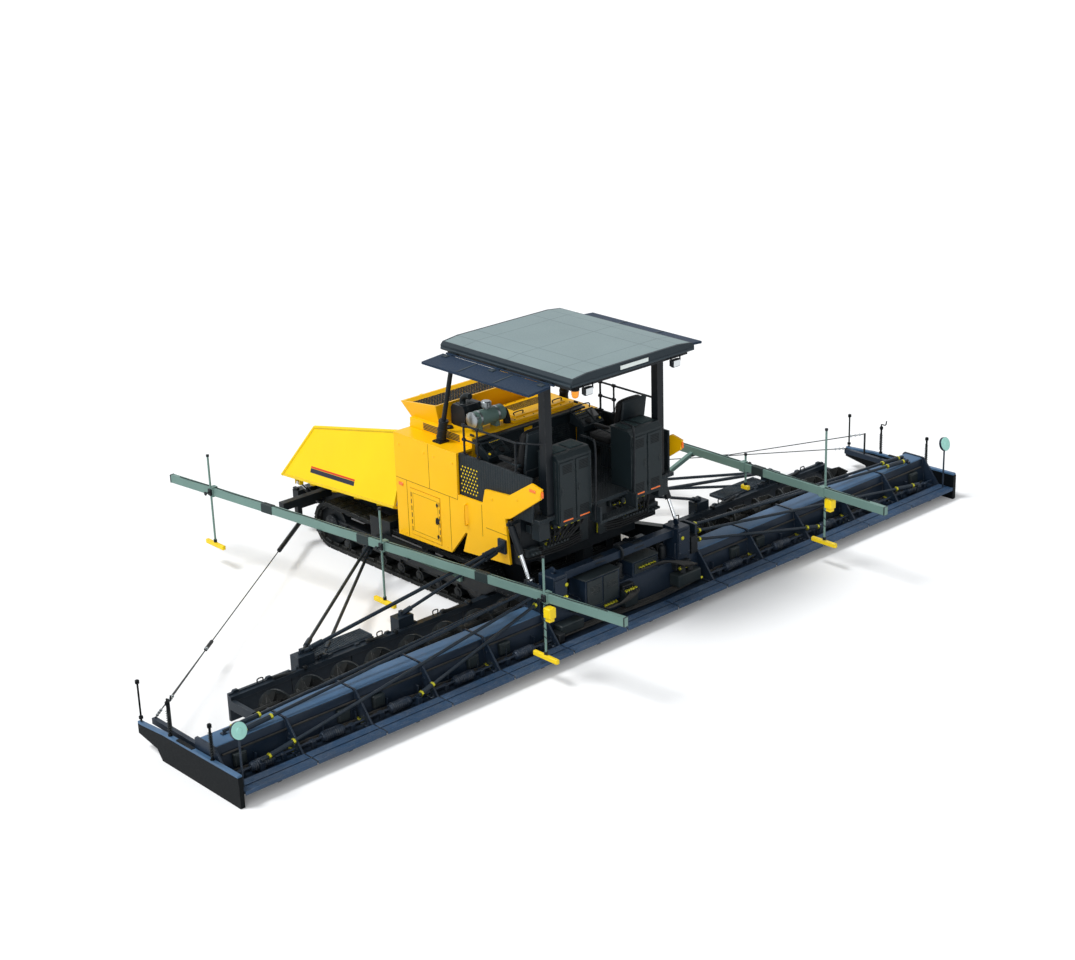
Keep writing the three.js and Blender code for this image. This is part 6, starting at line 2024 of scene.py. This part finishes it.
@dataclass
class LevellingBeams(SubAssembly):
    """Joint sleeves, clamps, sensors and feet of the two levelling beams."""

    body: ClassVar[str] = "screed"
    half_length: float = 4.335
    beam_z: float = 1.2
    left_front: float = 2.99
    left_rear: float = 1.91
    right: float = 3.25
    rod_reach: float = 0.047

    def build(self) -> None:
        """Makes the fittings of both beams."""
        rods = {
            "left": ((-3.39, 0.35, 1.79), (0.14, 0.35, 1.77), (3.05, 0.35, 1.79)),
            "right": ((-3.39, 0.35, 1.79), (1.645, 0.84, 1.39), (3.19, 0.38, 2.15))}
        for word, places in rods.items():
            self.one(f"{word}_beam_sleeves", partial(self._sleeves, word), Palette.BEAM_JOINT)
            self.one(f"{word}_beam_clamps", partial(self._clamps, word, places), Palette.BLACK, 30)
            self.one(f"{word}_beam_sensors", partial(self._sensors, word, places), Palette.SENSOR)
            self.one(f"{word}_beam_leads", partial(self._leads, word, places), Palette.HOSE, 30)

    def _x(self, word: str, y: float) -> float:
        """Where a beam's middle lies at a place along the machine."""
        if word == "right":
            return -self.right
        return self.left_front + (self.left_rear - self.left_front) * (y + self.half_length) / (2 * self.half_length)

    def _rod_x(self, word: str, y: float) -> float:
        """Where a rod's middle stands, beside the beam's outer face."""
        return self._x(word, y) + (self.rod_reach if word == "left" else -self.rod_reach)

    def _sleeves(self, word: str) -> None:
        """Sleeves over the beam's joints, each with four bolts, and its end caps."""
        for y in (-2.2, -0.25, 1.95):
            a, b = (self._x(word, y - 0.11), y - 0.11, self.beam_z), (self._x(word, y + 0.11), y + 0.11, self.beam_z)
            self.shape.bar(a, b, 0.084, 0.134)
            spots = [(self._x(word, y + dy), y + dy, self.beam_z + 0.067) for dy in (-0.07, 0.07)]
            self.shape.bolts(spots, UP, 0.012, 0.008)
        for y in (-self.half_length + 0.001, self.half_length - 0.019):
            self.shape.bar(
                (self._x(word, y), y, self.beam_z), (self._x(word, y + 0.018), y + 0.018, self.beam_z), 0.078, 0.128)

    def _clamps(self, word: str, places: Sequence[tuple[float, float, float]]) -> None:
        """A clamp block, its star handle and a collar for each rod, and the cross arms' plates."""
        sign = 1 if word == "left" else -1
        for y, low, top in places:
            x = self._rod_x(word, y)
            self.shape.block((x - 0.034, y - 0.036, self.beam_z - 0.05), (x + 0.034, y + 0.036, self.beam_z + 0.05))
            self.shape.rod((x + sign * 0.03, y, self.beam_z), (x + sign * 0.09, y, self.beam_z), 0.012, 10)
            self.shape.turned(
                (x + sign * 0.085, y, self.beam_z), (sign, 0, 0),
                [(0, 0.015), (0.004, 0.032), (0.018, 0.032), (0.022, 0.01), (0.022, 0)], 7)
            self.shape.turned((x, y, top - 0.03), UP, [(0, 0.016), (0, 0.024), (0.03, 0.024), (0.034, 0.0)], 14)
            self.shape.turned((x, y, low + 0.05), UP, sleeve(0.04, 0.016, 0.026), 14)
        for y in (-1.1, 0.6):
            self.shape.block(
                (self._x(word, y) - 0.06, y - 0.05, self.beam_z - 0.085),
                (self._x(word, y) + 0.06, y + 0.05, self.beam_z - 0.058))

    def _sensors(self, word: str, places: Sequence[tuple[float, float, float]]) -> None:
        """The yellow skid bars at the rods' feet, and a sensor head by the rearmost rod."""
        for y, low, _ in places:
            x = self._rod_x(word, y)
            reach = 0.228 if low < 0.5 else 0.073
            self.shape.block((x - 0.028, y - reach, low - 0.023), (x + 0.028, y + reach, low + 0.043), 0.008)
        y = places[-1][0]
        x = self._rod_x(word, y)
        self.shape.block((x - 0.06, y + 0.03, 0.95), (x + 0.06, y + 0.16, 1.1), 0.012)
        self.shape.block((x - 0.045, y + 0.05, 0.9), (x + 0.045, y + 0.14, 0.95), 0.008)

    def _leads(self, word: str, places: Sequence[tuple[float, float, float]]) -> None:
        """A cable clipped along the beam's top, and one wound down the rearmost rod."""
        y = np.linspace(-self.half_length + 0.2, self.half_length - 0.3, 90)
        x = np.array([self._x(word, place) for place in y])
        self.shape.tube(np.stack([x + 0.008 * np.sin(y * 6.0), y, np.full_like(y, self.beam_z + 0.066)], -1), 0.006, 6)
        rear, low, _ = places[-1]
        turn = np.linspace(0, 2 * math.pi * 5, 70)
        middle = self._rod_x(word, rear)
        path = np.stack(
            [middle + 0.022 * np.cos(turn), rear + 0.022 * np.sin(turn), np.linspace(1.13, max(low + 0.12, 0.55), 70)],
            -1)
        self.shape.tube(path, 0.005, 6)


# ---- studio


@dataclass
class Studio:
    """The pale floor, the soft light and the camera."""

    eye: Point = (17.857, 20.573, 11.683)
    ahead: Point = (-0.6243, -0.6973, -0.352)
    rightward: Point = (-0.737, 0.6752, -0.0304)
    lens: float = 67.02
    floor_half: float = 160.0

    def build(self) -> None:
        """Sets the view transform and makes the floor, the world, the lamps and the camera."""
        scene = bpy.context.scene
        scene.view_settings.view_transform = "Standard"
        self._floor()
        self._world()
        self._lamp("key_sun", (0.5, -0.28, 1.0), 2.3, 18)
        self._lamp("fill_sun", (0.85, 0.6, 0.45), 1.2, 60)
        self._camera()

    def _seen(self, graph: Graph) -> Socket:
        """1 for the rays of the camera, of a gloss and of a glass, and 0 for the light's own."""
        path = graph.node("LightPath").outputs
        seen = graph.maths("MAXIMUM", path["Is Camera Ray"], path["Is Glossy Ray"])
        return graph.maths("MAXIMUM", seen, path["Is Transmission Ray"])

    def _floor(self) -> None:
        """A flat square whose colour is lifted to white where the camera, a gloss or a glass sees it."""
        half = self.floor_half
        corners = np.array([(-half, -half, 0), (half, -half, 0), (half, half, 0), (-half, half, 0)]) - [0, 0, 0.002]
        mesh = bpy.data.meshes.new("studio_floor")
        mesh.from_pydata(corners.tolist(), [], [[0, 1, 2, 3]])
        floor = bpy.data.objects.new("studio_floor", mesh)
        bpy.context.scene.collection.objects.link(floor)
        made = bpy.data.materials.new("studio_floor")
        made.use_nodes = True
        made.node_tree.nodes.clear()
        graph = Graph(made.node_tree)
        matte = graph.node("BsdfDiffuse", {"Color": (0.86, 0.87, 0.88, 1.0)}).outputs[0]
        lift = graph.node(
            "Emission", {"Color": (1, 1, 1, 1), "Strength": graph.times(self._seen(graph), 0.08)}).outputs[0]
        graph.node("OutputMaterial", {0: graph.node("AddShader", {0: matte, 1: lift}).outputs[0]})
        mesh.materials.append(made)

    def _world(self) -> None:
        """An even pale sky that reads as white where it is seen."""
        world = bpy.data.worlds.new("studio")
        bpy.context.scene.world = world
        world.use_nodes = True
        world.node_tree.nodes.clear()
        graph = Graph(world.node_tree)
        strength = graph.between(self._seen(graph), 0, 1, 0.42, 1.04)
        shade = graph.node("Background", {"Color": (0.97, 0.985, 1.0, 1.0), "Strength": strength}).outputs[0]
        graph.node("OutputWorld", {0: shade})

    def _lamp(self, name: str, towards: Point, strength: float, angle: float) -> None:
        """A soft sun shining from a direction."""
        data = bpy.data.lights.new(name, "SUN")
        data.energy = strength
        data.angle = math.radians(angle)
        lamp = bpy.data.objects.new(name, data)
        lamp.rotation_mode = "QUATERNION"
        lamp.rotation_quaternion = Vector(towards).to_track_quat("Z", "Y")
        bpy.context.scene.collection.objects.link(lamp)

    def _camera(self) -> None:
        """The camera, from its place, its forward direction and its rightward one."""
        data = bpy.data.cameras.new("camera")
        data.lens = self.lens
        data.sensor_width = 36.0
        data.clip_end = 600.0
        camera = bpy.data.objects.new("camera", data)
        back = -unit(self.ahead)
        right = unit(np.asarray(self.rightward) - back * (back @ np.asarray(self.rightward)))
        upward = np.cross(back, right)
        turn = Matrix([[right[i], upward[i], back[i]] for i in range(3)])
        camera.matrix_world = Matrix.Translation(Vector(self.eye)) @ turn.to_4x4()
        bpy.context.scene.collection.objects.link(camera)
        bpy.context.scene.camera = camera


def corners(box: tuple[Vector, Vector]) -> list[list[float]]:
    """A box's two corners as plain lists of numbers."""
    return [[float(value) for value in corner] for corner in box]


def main() -> None:
    """Loads the frame, builds every sub-assembly in order and logs how many pieces are made."""
    logging.basicConfig(level=logging.INFO, format="%(message)s")
    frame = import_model()
    Studio().build()
    PackedPieces().dress(frame["nodes"])
    shop = Workshop()
    for part in (
        RunningGear, Hopper, Bodywork, Platform, Canopy, AugerFront, Screed, CentreScreed, EndGate, LevellingBeams
    ):
        part(shop).build()
        log.info("built %s, %d pieces so far", part.__name__, shop.made)


if __name__ == "__main__":
    main()
